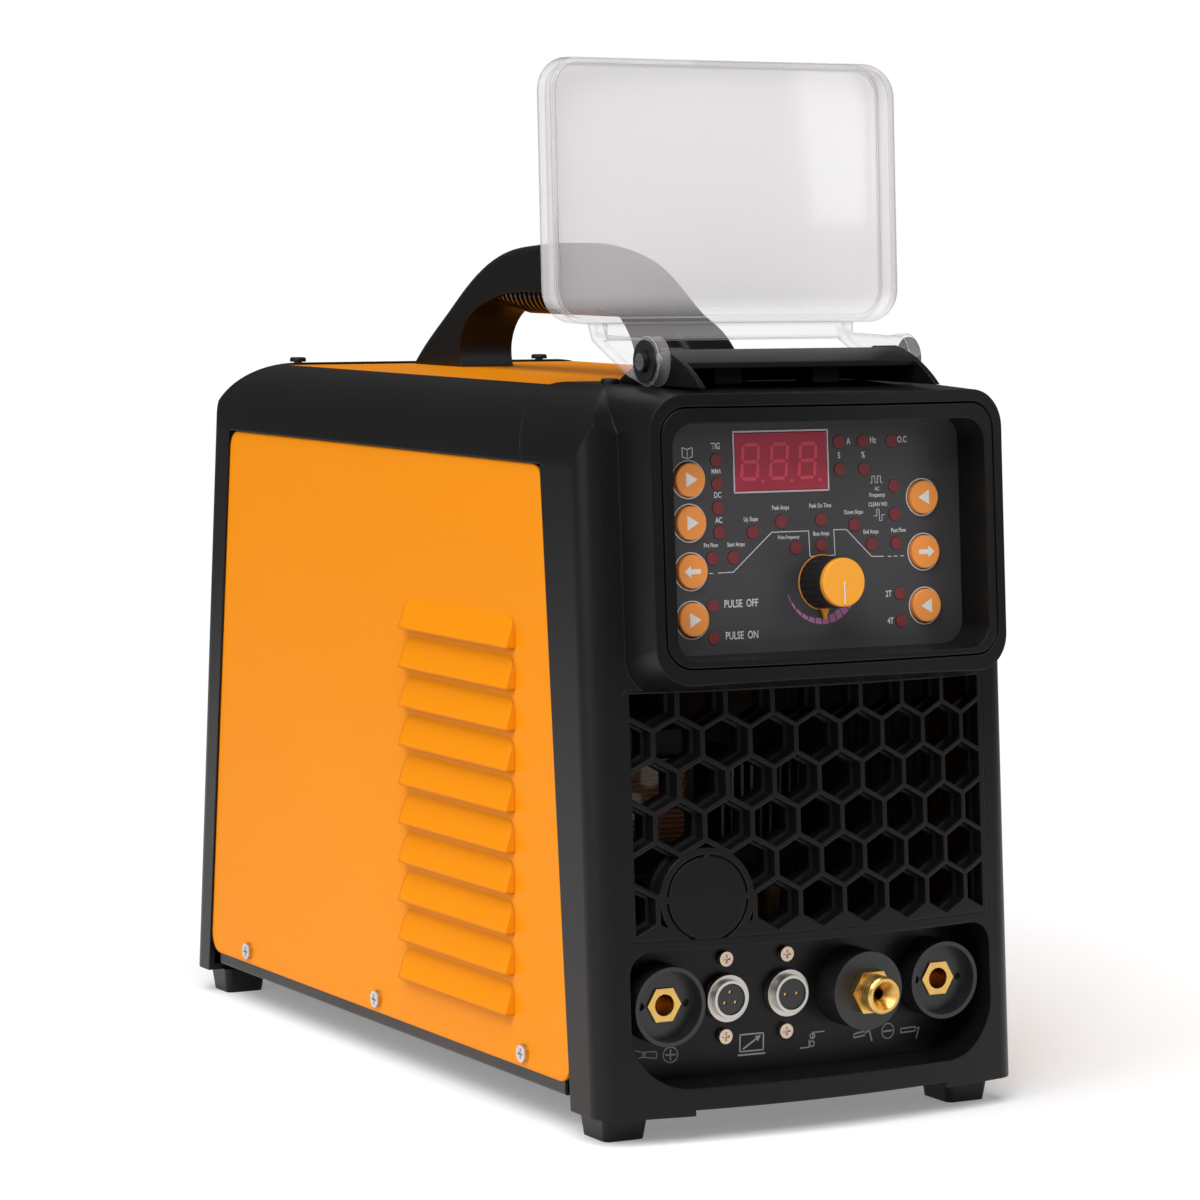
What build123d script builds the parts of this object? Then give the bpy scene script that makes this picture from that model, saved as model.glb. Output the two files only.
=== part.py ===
from build123d import *
import math
import os

# A portable AC/DC TIG welding machine.  +X is to the right seen from the front, the front
# faces -Y, +Z is up, and the origin is on the floor under the middle of the overall box.

# ---------------------------------------------------------------- driving dimensions (mm)
machine_width = 206.0        # across the plastic covers
machine_depth = 442.0        # control hood's lip to the rear cover
casing_height = 312.0        # floor to the crest of the corner rails
foot_height = 11.5           # floor to the underside of the covers
cover_wall = 3.0             # moulded covers
sheet = 1.2                  # steel panels
seam_gap = 0.4               # gap at every joint line of the casing
part_gap = 0.2               # gap between pieces that only lie beside each other

front_lean = 0.070           # the front face runs back this much for each mm of height
rear_lean = 0.0876           # and the rear face runs forward
face_bow = 450.0             # plan radius of the front face
rear_bow = 2500.0            # plan radius of the rear face
face_corner = 11.0           # upright corners of the front cover
lip_stand_off = 8.1          # hood lip in front of the face at floor level
rail_radius = 33.0           # long rounded corners of the casing
shoulder_radius = 40.0       # rounding from the front face up to the top
rear_shoulder = 34.0

panel_bottom = 22.0          # orange side panels
panel_top = 279.2
panel_inset = 1.0            # panel face inside the covers' sides
panel_corner = 9.0
front_seam_foot = 48.2       # hood lip back to the panel's front edge, at its bottom
front_seam_lean = 0.109
rear_seam_foot = 22.6        # rear cover's back to the panel's rear edge, at its bottom
rear_seam_lean = 0.0995
rail_lip_x = 78.0            # inner edge of the corner rails
front_seam_top = 113.6       # hood lip back to the front cover's top seam
front_seam_side = 92.0       # the same seam where it meets the side panel
rear_seam_top = 63.0         # rear cover's back to its top seam
rear_seam_side = 48.0

louvre_count = 10
louvre_pitch = 17.45
louvre_first_lip = 200.0
louvre_rise = 14.0           # height over which a louvre swells outwards
louvre_depth = 4.2
louvre_length = 104.0
louvre_front = 99.0          # hood lip back to the louvres' front end

grille_half_width = 86.8
grille_top = 187.0
grille_bottom = 84.6
grille_border = 2.0
grille_head = 1.0
grille_depth = 13.0
cell_pitch = 21.7            # across the honeycomb
cell_row_pitch = 17.2
cell_first_row = 182.7       # height of the top row's centres
cell_rows = 6
cell_rib = 2.0
cell_inner_rib = 4.6         # thicker rib in the rear half of the honeycomb
knockout_x = -53.9           # blanked round hole for a further socket
knockout_z = 101.3
knockout_radius = 20.0
knockout_groove = 17.8

hood_half_width = 85.5       # outline of the control hood's lip
hood_bottom = 195.0
hood_top = 309.5
hood_corner = 16.0
hood_bow = 600.0
hood_lean = 0.0725
hood_root_half_width = 90.8  # hood outline at its root, inside the cover
hood_root_bottom = 172.0
hood_root_setback = 75.0     # hood lip back to that root
lip_width = 4.2              # lip around the control bezel
lip_width_bottom = 3.2
bezel_groove = 0.8
opening_half_width = 76.1    # control opening inside the bezel
opening_bottom = 201.5
opening_top = 298.3
opening_corner = 10.0

panel_mid_z = 250.0          # reference height on the control panel
panel_setback = 29.5         # hood lip back to the control panel, at that height
panel_thickness = 2.0
button_x = 57.3
button_radius = 7.1
button_gap = 0.4
button_proud = 2.2
button_travel = 0.8
left_button_z = {"mode": 274.2, "output": 256.3, "back": 236.3, "pulse": 216.3}
right_button_z = {"balance": 263.9, "next": 240.7, "trigger": 217.8}
led_radius = 2.9
display_x = -12.3
display_z = 280.8
display_width = 45.2
display_height = 24.3
knob_x = 6.3
knob_z = 229.6
knob_radius = 10.8
knob_height = 17.5
shaft_radius = 3.0
running_fit = 0.05
shaft_clearance = 0.15

hinge_setback = 54.0         # hood lip back to the lid's hinge axis
hinge_z = 322.3
lug_radius = 10.5
bracket_half_width = 58.4
lug_width = 5.6
lug_gap = 0.4
pivot_radius = 3.0
lid_wall = 2.4
lid_stand_off = 13.0         # lid's outer face in front of the hood's side lips
lid_lip_gap = 0.4
lid_swing = 179.0            # from shut to fully open

recess_half_width = 88.9     # socket recess at the foot of the front
recess_bottom = 23.0
recess_top = 80.7
recess_depth = 21.5
recess_top_corner = 10.0
recess_bottom_corner = 25.0
socket_plate_wall = 2.5
port_z = 55.8
weld_socket_x = 67.9
weld_socket_radius = 16.8
weld_socket_proud = 14.0
weld_cup_radius = 14.9
weld_cup_depth = 6.2
weld_bore_radius = 4.55      # 9 mm bore of a 10-25 mm2 weld cable socket
weld_hex = 14.0
control_socket_x = {"3pin": -36.7, "2pin": -7.6}
control_socket_radius = 8.0  # M16 coupling thread
control_flange_radius = 10.0
control_screw_pitch = 33.0
gas_x = 25.0
gas_thread_radius = 8.0      # M16 x 1.5 torch gas connection
gas_thread_pitch = 1.5
gas_hex = 17.5
gas_bore_radius = 2.2

handle_half_width = 14.0
handle_top = 370.5
handle_rear_setback = 65.0   # rear cover's back to the handle's rear heel
handle_front_setback = 100.0 # hood lip back to the handle's front toe
grip_under = 337.5
grip_fin = 1.7
grip_fin_pitch = 4.6

fan_size = 120.0
fan_depth = 38.0
fan_z = 150.0
fan_bore = 57.5
switch_x = 62.0
gland_x = -62.0
rear_fitting_z = 262.0
gas_inlet_x = -62.0
gas_inlet_z = 226.0

foot_width = 22.0
foot_taper = 3.0
foot_corner = 3.0
front_foot_length = 24.0
rear_foot_length = 21.0
foot_x = 85.0
front_foot_setback = 42.3    # hood lip back to the front feet's middle
rear_foot_setback = 16.5     # rear face forward to the rear feet's middle

tray_bottom = 16.0
tray_flange_top = 38.0
tray_inset = 6.0
side_screw_shares = (0.3464, 0.0247, -0.2973)
side_screw_z = 28.25
screw_radius = 2.0
screw_head_radius = 3.9
screw_head_height = 2.1
screw_length = 9.0
screw_cross = 4.6
louvre_corner = 6.0
front_seam_middle = 103.5
rear_seam_middle = 54.5
seam_middle_rise = 21.0
rail_ledge = 10.0
rail_ledge_root = 3.0
cover_screw_x = {"front": 63.5, "rear": 66.4}
cover_screw_setback = {"front": 86.7, "rear": 48.2}
front_cover_depth = 140.0    # hood lip back past the cover's last seam
shoulder_run = 6.0           # extra length of the shoulder's curve along the top
hood_front_reach = 15.0      # outline drawn this far in front of the lip
hood_front_drop = 1.5
hood_front_draft = 1.2
cell_wall_height = 11.47     # upright walls of a honeycomb cell
cell_peak = 2.0              # a cell's peak above its middle, in half wall heights
cell_step_depth = 6.5
knockout_bridge = 2.6
knockout_depth = 2.0
notch_half_width = 62.0
notch_depth = 60.0
notch_height = 2.4
weld_neck_radius = 13.0
weld_core_radius = 6.6
weld_body_length = 22.0
weld_insert_set = 5.2        # socket rim back to the brass hexagon's face
weld_bore_depth = 24.0
control_socket_proud = 7.0
control_neck_radius = 7.8
control_core_radius = 6.6
control_core_set = 0.8
control_pin_radius = 0.8
control_screw_radius = 1.5
control_screw_head = 3.2
control_pin_places = {"3pin": ((0.0, 3.0), (-2.6, -1.5), (2.6, -1.5)),
                      "2pin": ((-2.8, 0.0), (2.8, 0.0))}
gas_flange_proud = 16.0
gas_flange_radius = 16.85
gas_neck_radius = 9.8
gas_neck_inner = 6.4
gas_thread_reach = 13.0
gas_hex_thickness = 4.0
gas_cone_depth = 5.0
gas_mouth_radius = 6.0
gas_groove_count = 5
bracket_setback = 19.1       # hood lip back to the tips of the bracket's arms
bracket_length = 71.0
bracket_crest = 31.0
bracket_visor = 16.0
bracket_rise = 15.0
bracket_wall = 2.4
bracket_post_x = (17.7, 30.8)
bracket_boss = 5.5
washer_radius = 9.0
washer_width = 1.0
pivot_head = 4.6
lid_top_drop = 1.0
lid_foot_rise = 1.0          # lid's lower edge above the hood's
lid_top_gap = 1.2            # lid's arms over the hood's top
led_places = ((-43.7, 282.0), (-43.5, 272.1), (-43.5, 262.2), (-43.2, 252.0), (-46.9, 241.4),
              (-36.7, 241.4), (-47.4, 221.7), (-47.2, 208.4), (-27.1, 251.5), (-13.1, 255.6),
              (-6.3, 244.5), (6.5, 255.9), (6.4, 245.2), (22.9, 253.2), (31.3, 244.8),
              (43.6, 244.8), (16.3, 288.2), (28.4, 288.4), (42.7, 288.2), (16.5, 276.6),
              (28.5, 276.7), (43.2, 269.0), (43.2, 257.2), (44.8, 223.5), (45.2, 211.8))
led_length = 4.0
encoder_bush = 3.8
board_setback = 12.0         # control panel back to its circuit board
board_thickness = 1.6
digit_pitch = 12.7
digit_width = 9.0
digit_height = 14.2          # 0.56 inch digits
button_crown = 0.7
button_stem = 4.0
knob_lift = 0.4
knob_skirt = 11.2
knob_cap_depth = 2.6
knob_draft = 2.0
knob_flutes = 24
handle_post = 55.0           # depth of the handle's rear post
handle_round = 5.0
grip_core_depth = 6.0
rear_cover_depth = 90.0      # rear face forward past the cover's last seam
rear_face_foot = 24.0        # height where the rear face starts to lean
rear_roll = 10.0
fan_screw_pitch = 105.0
fan_hub = 20.0
fan_pin = 3.0
fan_blades = 7
fan_blade_tip = 54.0
fan_blade_pitch = 38.0
guard_rings = (18.0, 28.0, 38.0, 48.0, 58.0)
guard_wire = 1.3
gland_neck = 9.8
gas_inlet_neck = 6.3
switch_width = 27.0
switch_height = 32.0
vent_rows = 3
vent_first = 66.0
vent_pitch = 9.0
vent_half_width = 45.0
guard_stand_off = 3.7        # rear face to the guard screws' heads
rocker_half_width = 10.0
rocker_half_height = 12.0
rocker_swing_room = 1.6
rocker_pivot_set = 4.5
rear_bow_gap = 0.5
gland_hex = 24.0
gland_dome = 14.0
gland_bore = 5.5
gas_barb = 4.8
valve_setback = 84.0
plunger_radius = 3.4
plunger_length = 14.0
board_front_setback = 150.0
board_half_width = 84.0
board_length = 205.0
board_z = 88.0
sink_length = 120.0
sink_fins = 9
sink_height = 45.0

# ------------------------------------------------------------------ places worked out once
half_width = machine_width / 2
front_y = -machine_depth / 2
rear_y = machine_depth / 2
side_screw_y = tuple(share * machine_depth for share in side_screw_shares)
face_y = front_y + lip_stand_off
panel_x = half_width - panel_inset
side_inner_x = panel_x - sheet
deck_z = casing_height - 1.0
far = 2 * machine_depth
lip_foot_y = front_y - hood_lean * hood_bottom
port_wall_y = face_y + front_lean * port_z + recess_depth
hinge_y = front_y + hinge_setback
panel_y = front_y + panel_setback
panel_plane = Plane(origin=(0, panel_y, panel_mid_z), x_dir=(1, 0, 0), z_dir=(0, -1, front_lean))

os.makedirs("parts", exist_ok=True)


# ------------------------------------------------------------------------- shared outlines
def fill_box(low, high, mode=Mode.ADD):
    """A box between two corners, in the piece being built."""
    size = [b - a for a, b in zip(low, high)]
    middle = [(a + b) / 2 for a, b in zip(low, high)]
    with Locations(tuple(middle)):
        Box(*size, mode=mode)


def rod(start, radius, length, axis, mode=Mode.ADD):
    """A cylinder running from `start` along +X, +Y or +Z."""
    turn = {"x": (0, 90, 0), "y": (-90, 0, 0), "z": (0, 0, 0)}[axis]
    with Locations(Location(start, turn)):
        Cylinder(radius, length, align=(Align.CENTER, Align.CENTER, Align.MIN), mode=mode)


def front_seam_y(z):
    return front_y + front_seam_foot + front_seam_lean * (z - panel_bottom)


def rear_seam_y(z):
    return rear_y - rear_seam_foot - rear_seam_lean * (z - panel_bottom)


def bowed_block(half, y_front, y_back, low, high, lean, bow, corner=0.0, bevel=0.0):
    """An upright block with a bowed front, which leans back by `lean` for each mm of height."""
    toward = math.copysign(1.0, y_back - y_front)
    slant = math.sqrt(1 + lean**2)
    nose, back = y_front / slant, y_back / slant
    edge_y = nose + toward * (bow - math.sqrt(bow**2 - half**2))
    reach = (high - low) / 2 + abs(lean) * far + 10
    axis = (0, lean / slant, 1 / slant)
    start = tuple((low + high) / 2 * c for c in axis)
    with BuildPart(mode=Mode.PRIVATE) as block:
        with BuildSketch(Plane(origin=start, x_dir=(1, 0, 0), z_dir=axis)):
            with BuildLine():
                ThreePointArc((-half, edge_y), (0, nose), (half, edge_y))
                Polyline((half, edge_y), (half, back), (-half, back), (-half, edge_y))
            plan = make_face()
            ends = [v for v in plan.vertices() if abs(v.Y - edge_y) < 1e-3]
            if corner > 0:
                fillet(ends, corner)
            if bevel > 0:
                chamfer(ends, bevel)
        extrude(amount=reach, both=True)
        fill_box((-far, -2 * far, low), (far, 2 * far, high), Mode.INTERSECT)
    return block.part


def casing_section(inset):
    """The casing's cross-section: a flat top with long rounded corners, open at the sides."""
    radius = rail_radius - inset
    half = half_width - inset
    top = casing_height - inset
    wide = half_width + 5
    with BuildPart(mode=Mode.PRIVATE) as bar:
        with BuildSketch(Plane.XZ.offset(-far / 2)):
            with BuildLine():
                Polyline((-wide, -10), (-wide, top - radius), (-half, top - radius))
                RadiusArc((-half, top - radius), (-half + radius, top), radius)
                Line((-half + radius, top), (half - radius, top))
                RadiusArc((half - radius, top), (half, top - radius), radius)
                Polyline((half, top - radius), (wide, top - radius), (wide, -10), (-wide, -10))
            make_face()
        extrude(amount=far)
    return bar.part


def across(points, half, middle=0.0):
    """A straight-edged side profile of (y, z) points, carried across the machine."""
    with BuildPart(mode=Mode.PRIVATE) as bar:
        with BuildSketch(Plane.YZ.offset(middle - half)):
            with BuildLine():
                Polyline(*points, close=True)
            make_face()
        extrude(amount=2 * half)
    return bar.part


def rounded_bar(half, bottom, top, corner, y_from, y_to):
    """A rounded rectangle carried along Y."""
    with BuildPart(mode=Mode.PRIVATE) as bar:
        with BuildSketch(Plane.XZ.offset(-y_from)):
            with Locations((0, (bottom + top) / 2)):
                RectangleRounded(2 * half, top - bottom, corner)
        extrude(amount=y_from - y_to)
    return bar.part


def turned(outline, x, z, y=0.0):
    """A piece turned about a Y-ward axis at (x, z) from (radius, y) points."""
    with BuildPart(mode=Mode.PRIVATE) as piece:
        with BuildSketch(Plane.XY):
            with BuildLine():
                Polyline(*outline, close=True)
            make_face()
        revolve(axis=Axis.Y)
    return piece.part.moved(Location((x, y, z)))


def tapered_foot(x, y, length):
    """A moulded foot under a cover."""
    with BuildPart(mode=Mode.PRIVATE) as foot:
        for z, trim in ((foot_height + 0.5, 0.0), (0.0, foot_taper)):
            with BuildSketch(Plane.XY.offset(z)):
                with Locations((x, y)):
                    RectangleRounded(foot_width - trim, length - trim, foot_corner)
        loft(ruled=True)
    return foot.part


def save(piece, name):
    piece.part.label = name
    export_step(piece.part, "parts/" + name + ".step")


# ---------------------------------------------------------------- base tray (sheet steel)
def make_base_tray():
    outer_x = side_inner_x - part_gap
    front = front_seam_y(tray_flange_top) + tray_inset
    rear = rear_seam_y(tray_flange_top) - tray_inset
    with BuildPart() as base_tray:
        fill_box((-outer_x, front, tray_bottom), (outer_x, rear, tray_bottom + sheet))
        for side in (-1, 1):
            inner, outer = sorted((side * outer_x, side * (outer_x - sheet)))
            fill_box((inner, front, tray_bottom), (outer, rear, tray_flange_top))
        outer_edges = base_tray.edges().filter_by(Axis.Y).group_by(Axis.Z)[0]
        fillet([e for e in outer_edges if abs(abs(e.center().X) - outer_x) < 0.01], sheet)
        for y in side_screw_y:
            rod((-outer_x - 1, y, side_screw_z), screw_radius, 2 * outer_x + 2, "x", Mode.SUBTRACT)
    save(base_tray, "base_tray")


# ---------------------------------------------------- louvred side panels (sheet steel)
def louvre_wedge(side, lip_z, grow):
    """The swollen wedge above a louvre's lip, or with `grow` below zero, its inside."""
    face = side * panel_x
    reach = side * (louvre_depth + grow)
    foot = side * min(grow, 0.0)
    half = louvre_length / 2 + grow
    front = front_y + louvre_front + louvre_length / 2
    with BuildPart(mode=Mode.PRIVATE) as wedge:
        with BuildSketch(Plane.XZ.offset(-front - half)):
            with BuildLine():
                Polyline((face + foot, lip_z), (face + reach, lip_z),
                         (face + foot, lip_z + louvre_rise), close=True)
            make_face()
        extrude(amount=2 * half)
        with BuildSketch(Plane.YZ.offset(-far / 2)):
            with Locations((front, lip_z)):
                RectangleRounded(2 * half, 2 * louvre_rise + 2 * grow, louvre_corner + grow)
        extrude(amount=far, mode=Mode.INTERSECT)
    return wedge.part


def make_side_panels():
    for side, name in ((-1, "side_panel_left"), (1, "side_panel_right")):
        inner, outer = sorted((side * side_inner_x, side * panel_x))
        lips = [louvre_first_lip - n * louvre_pitch for n in range(louvre_count)]
        with BuildPart() as side_panel:
            with BuildSketch(Plane.YZ.offset(inner)):
                with BuildLine():
                    Polyline((front_seam_y(panel_bottom), panel_bottom),
                             (rear_seam_y(panel_bottom), panel_bottom),
                             (rear_seam_y(panel_top), panel_top),
                             (front_seam_y(panel_top), panel_top), close=True)
                outline = make_face()
                fillet(outline.vertices(), panel_corner)
            extrude(amount=sheet)
            for lip_z in lips:
                add(louvre_wedge(side, lip_z, 0.0))
            for lip_z in lips:
                add(louvre_wedge(side, lip_z, -sheet), mode=Mode.SUBTRACT)
            for y in side_screw_y:
                rod((inner - 1, y, side_screw_z), screw_radius, sheet + 2, "x", Mode.SUBTRACT)
        save(side_panel, name)


def make_side_screws():
    with BuildPart() as side_screws:
        for side, turn in ((-1, -90), (1, 90)):
            for y in side_screw_y:
                with Locations(Location((side * (panel_x + part_gap / 4), y, side_screw_z), (0, turn, 0))):
                    Cylinder(screw_head_radius, screw_head_height,
                             align=(Align.CENTER, Align.CENTER, Align.MIN))
                    Cylinder(screw_radius - running_fit, screw_length,
                             align=(Align.CENTER, Align.CENTER, Align.MAX))
                with Locations(Location((side * (panel_x + screw_head_height), y, side_screw_z),
                                        (0, turn, 0))):
                    Box(screw_cross, 0.9, 1.2, mode=Mode.SUBTRACT)
                    Box(0.9, screw_cross, 1.2, mode=Mode.SUBTRACT)
    save(side_screws, "side_screws")


# ------------------------------------------------------------ corner rails and top panel
def seam_profile(grow):
    """Side view of what lies between the covers' top seams, shrunk by `grow`."""
    seam = front_y + grow
    back = rear_y - grow
    low = panel_top + grow
    with BuildPart(mode=Mode.PRIVATE) as bar:
        with BuildSketch(Plane.YZ.offset(-far / 2)):
            with BuildLine():
                ThreePointArc((seam + front_seam_side, low),
                              (seam + front_seam_middle, low + seam_middle_rise),
                              (seam + front_seam_top, deck_z + 0.4))
                Polyline((seam + front_seam_top, deck_z + 0.4), (seam + front_seam_top, far),
                         (back - rear_seam_top, far), (back - rear_seam_top, deck_z + 0.4))
                ThreePointArc((back - rear_seam_top, deck_z + 0.4),
                              (back - rear_seam_middle, low + seam_middle_rise),
                              (back - rear_seam_side, low))
                Line((back - rear_seam_side, low), (seam + front_seam_side, low))
            make_face()
        extrude(amount=far)
    return bar.part


def make_corner_rails():
    span = seam_profile(seam_gap)
    for side, name in ((-1, "corner_rail_left"), (1, "corner_rail_right")):
        with BuildPart() as corner_rail:
            add(casing_section(0.0))
            add(casing_section(cover_wall), mode=Mode.SUBTRACT)
            add(span, mode=Mode.INTERSECT)
            near, away = sorted((side * (rail_lip_x + seam_gap / 2), side * far))
            fill_box((near, -far, 0), (away, far, far), mode=Mode.INTERSECT)
            low, high = sorted((side * (rail_lip_x - rail_ledge), side * (rail_lip_x + rail_ledge_root)))
            ledge_top = deck_z - sheet - part_gap
            fill_box((low, front_y + front_seam_top + seam_gap, ledge_top - 2),
                     (high, rear_y - rear_seam_top - seam_gap, ledge_top))
        save(corner_rail, name)


def make_top_panel():
    half = rail_lip_x - seam_gap / 2
    front = front_y + front_seam_top + seam_gap
    rear = rear_y - rear_seam_top - seam_gap
    with BuildPart() as top_panel:
        fill_box((-half, front, deck_z - sheet), (half, rear, deck_z))
        for y in handle_screws():
            rod((0, y, deck_z - sheet - 1), screw_radius + 0.5, sheet + 2, "z", Mode.SUBTRACT)
    save(top_panel, "top_panel")


# ------------------------------------------------------------- front cover (moulded black)
def front_region(grow):
    """Side view of everything in front of the cover's rear seam, shrunk by `grow`."""
    seam = front_y - grow
    low = panel_top + seam_gap - grow
    with BuildPart(mode=Mode.PRIVATE) as bar:
        with BuildSketch(Plane.YZ.offset(-far / 2)):
            with BuildLine():
                ThreePointArc((seam + front_seam_side, low),
                              (seam + front_seam_middle, low + seam_middle_rise),
                              (seam + front_seam_top, deck_z + 0.4))
                Polyline((seam + front_seam_top, deck_z + 0.4), (seam + front_seam_top, far),
                         (front_y - 60, far), (front_y - 60, -10),
                         (front_seam_y(-10) - seam_gap - grow, -10),
                         (front_seam_y(low) - seam_gap - grow, low),
                         (seam + front_seam_side, low))
            make_face()
        extrude(amount=far)
    return bar.part


def front_shell(inset):
    """The front cover's solid outline, or its inside, without the hood."""
    with BuildPart(mode=Mode.PRIVATE) as shell:
        add(bowed_block(half_width - inset, face_y + inset, front_y + front_cover_depth,
                        foot_height + inset, casing_height + 1, front_lean,
                        face_bow - inset, face_corner - inset))
        add(casing_section(inset), mode=Mode.INTERSECT)
        radius = shoulder_radius - inset
        face_top = face_y + inset + front_lean * casing_height
        with BuildSketch(Plane.YZ.offset(-far / 2)):
            with BuildLine():
                Polyline((face_top, casing_height - inset - radius),
                         (face_top - 60, casing_height - inset - radius),
                         (face_top - 60, casing_height + 20),
                         (face_top + radius + shoulder_run, casing_height + 20),
                         (face_top + radius + shoulder_run, casing_height - inset))
                EllipticalCenterArc((face_top + radius + shoulder_run, casing_height - inset - radius),
                                    radius + shoulder_run, radius, start_angle=90, arc_size=90)
            make_face()
        extrude(amount=far, mode=Mode.SUBTRACT)
    return shell.part


def hood_block():
    """The control hood, from its bowed lip back to its root inside the cover."""
    reach = hood_root_setback + hood_front_reach
    with BuildPart(mode=Mode.PRIVATE) as hood:
        for share, y in ((0.0, front_y - hood_front_reach), (1.0, front_y + hood_root_setback)):
            grow = share * (hood_root_half_width - hood_half_width)
            bottom = hood_bottom + hood_front_drop + share * (hood_root_bottom - hood_bottom)
            top = hood_top + share * (casing_height - hood_top)
            half = hood_half_width - hood_front_draft + grow
            with BuildSketch(Plane.XZ.offset(-y)):
                with Locations((0, (bottom + top) / 2)):
                    RectangleRounded(2 * half, top - bottom, hood_corner)
        loft(ruled=True)
        add(bowed_block(half_width, lip_foot_y, front_y + 2 * reach, -10, casing_height + 20,
                        hood_lean, hood_bow), mode=Mode.INTERSECT)
    return hood.part


def honeycomb(rib, y_from, y_to):
    """The honeycomb's cells, carried along Y, leaving out those behind the knock-out."""
    with BuildPart(mode=Mode.PRIVATE) as cells:
        with BuildSketch(Plane.XZ.offset(-y_from)):
            for row in range(cell_rows):
                z = cell_first_row - row * cell_row_pitch
                shift = 0.5 if row % 2 == 0 else 0.0
                for column in range(-4, 5):
                    x = (column + shift) * cell_pitch
                    if abs(x) > grille_half_width + 0.5:
                        continue
                    corners = [(x + dx * (cell_pitch - rib) / 2, z + dz * cell_upright(rib))
                               for dx, dz in ((0, cell_peak), (1, 1), (1, -1),
                                              (0, -cell_peak), (-1, -1), (-1, 1))]
                    with BuildLine():
                        Polyline(*corners, close=True)
                    make_face()
            with Locations((0, (grille_top + grille_bottom) / 2)):
                Rectangle(2 * grille_half_width - rib, grille_top - grille_bottom - 0.6,
                          mode=Mode.INTERSECT)
            with Locations((knockout_x, knockout_z)):
                Circle(knockout_radius + rib / 2, mode=Mode.SUBTRACT)
        extrude(amount=y_from - y_to)
    return cells.part


def knockout_ring():
    """The knock-out's ring groove, broken by four bridges."""
    with BuildPart(mode=Mode.PRIVATE) as ring:
        with BuildSketch(Plane.XZ.offset(-front_y + 20)):
            with Locations((knockout_x, knockout_z)):
                Circle(knockout_groove + 0.5)
                Circle(knockout_groove - 0.5, mode=Mode.SUBTRACT)
                Rectangle(knockout_bridge, 3 * knockout_radius, mode=Mode.SUBTRACT)
                Rectangle(3 * knockout_radius, knockout_bridge, mode=Mode.SUBTRACT)
        extrude(amount=-(front_cover_depth + 20))
        add(bowed_block(half_width, face_y + knockout_depth, front_y + front_cover_depth,
                        0, casing_height, front_lean, face_bow - knockout_depth),
            mode=Mode.SUBTRACT)
    return ring.part


def cell_upright(rib):
    """Half the height of a cell's upright walls."""
    return (cell_wall_height / 2) * (cell_pitch - rib) / cell_pitch


def make_front_cover():
    behind = front_y + front_cover_depth
    with BuildPart() as front_cover:
        add(front_shell(0.0))
        add(hood_block())
        add(front_region(0.0), mode=Mode.INTERSECT)
        add(front_shell(cover_wall), mode=Mode.SUBTRACT)
        # The socket recess is a tunnel that runs back to the socket panel.
        recess_back = bowed_block(half_width - cover_wall, port_wall_y - seam_gap, behind,
                                  0, casing_height, 0.0, face_bow)
        tunnel = rounded_bar(recess_half_width + cover_wall, recess_bottom - cover_wall,
                             recess_top + cover_wall, recess_top_corner + cover_wall,
                             front_y - 20, behind)
        add((front_shell(0.0) & tunnel) - recess_back)
        recess = rounded_bar(recess_half_width, recess_bottom, recess_top, recess_top_corner,
                             front_y - 20, port_wall_y + 15)
        low_corners = rounded_bar(recess_half_width, recess_bottom,
                                  recess_top + 2 * recess_bottom_corner,
                                  recess_bottom_corner, front_y - 20, port_wall_y + 15)
        add(recess & low_corners, mode=Mode.SUBTRACT)
        # The control opening in the hood, and the opening that the honeycomb fills.
        add(rounded_bar(bezel_half(), bezel_low(), bezel_high(), hood_corner - lip_width,
                        front_y - 20, behind), mode=Mode.SUBTRACT)
        add(grille_outline(0.0), mode=Mode.SUBTRACT)
        for side in (-1, 1):
            add(tapered_foot(side * foot_x, front_y + front_foot_setback, front_foot_length))
            with Locations((side * cover_screw_x["front"],
                            front_y + cover_screw_setback["front"], casing_height)):
                Cylinder(screw_radius, 4 * cover_wall, mode=Mode.SUBTRACT)
        # Room for the handle's toe, and a shallow arch under the front edge.
        toe = handle_half_width + part_gap + 0.1
        fill_box((-toe, front_y + handle_front_setback - 6.3, deck_z - 20),
                 (toe, behind, casing_height + 20), Mode.SUBTRACT)
        fill_box((-notch_half_width, front_y - 20, -10),
                 (notch_half_width, front_y + notch_depth, foot_height + notch_height),
                 Mode.SUBTRACT)
    save(front_cover, "front_cover")


# --------------------------------------------- honeycomb grille (insert in the front cover)
def grille_outline(gap):
    """The opening in the cover, or with `gap` the insert that fills it."""
    return rounded_bar(grille_half_width + grille_border - gap, grille_bottom + gap,
                       grille_top + grille_head - gap, 2.0, front_y - 20,
                       front_y + front_cover_depth)


def make_front_grille():
    behind = front_y + front_cover_depth
    with BuildPart() as front_grille:
        add(bowed_block(half_width, face_y, behind, 0, casing_height, front_lean, face_bow))
        add(bowed_block(half_width + 1, face_y + grille_depth, behind + 1, -1,
                        casing_height + 1, front_lean, face_bow - grille_depth),
            mode=Mode.SUBTRACT)
        add(grille_outline(part_gap / 2), mode=Mode.INTERSECT)
        add(honeycomb(cell_rib, front_y - 20, behind) -
            bowed_block(half_width, face_y + cell_step_depth, behind, 0, casing_height,
                        front_lean, face_bow - cell_step_depth), mode=Mode.SUBTRACT)
        add(honeycomb(cell_inner_rib, front_y - 20, behind), mode=Mode.SUBTRACT)
        add(knockout_ring(), mode=Mode.SUBTRACT)
    save(front_grille, "front_grille")


def bezel_half():
    return hood_half_width - lip_width


def bezel_low():
    return hood_bottom + lip_width_bottom


def bezel_high():
    return hood_top - lip_width


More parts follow.
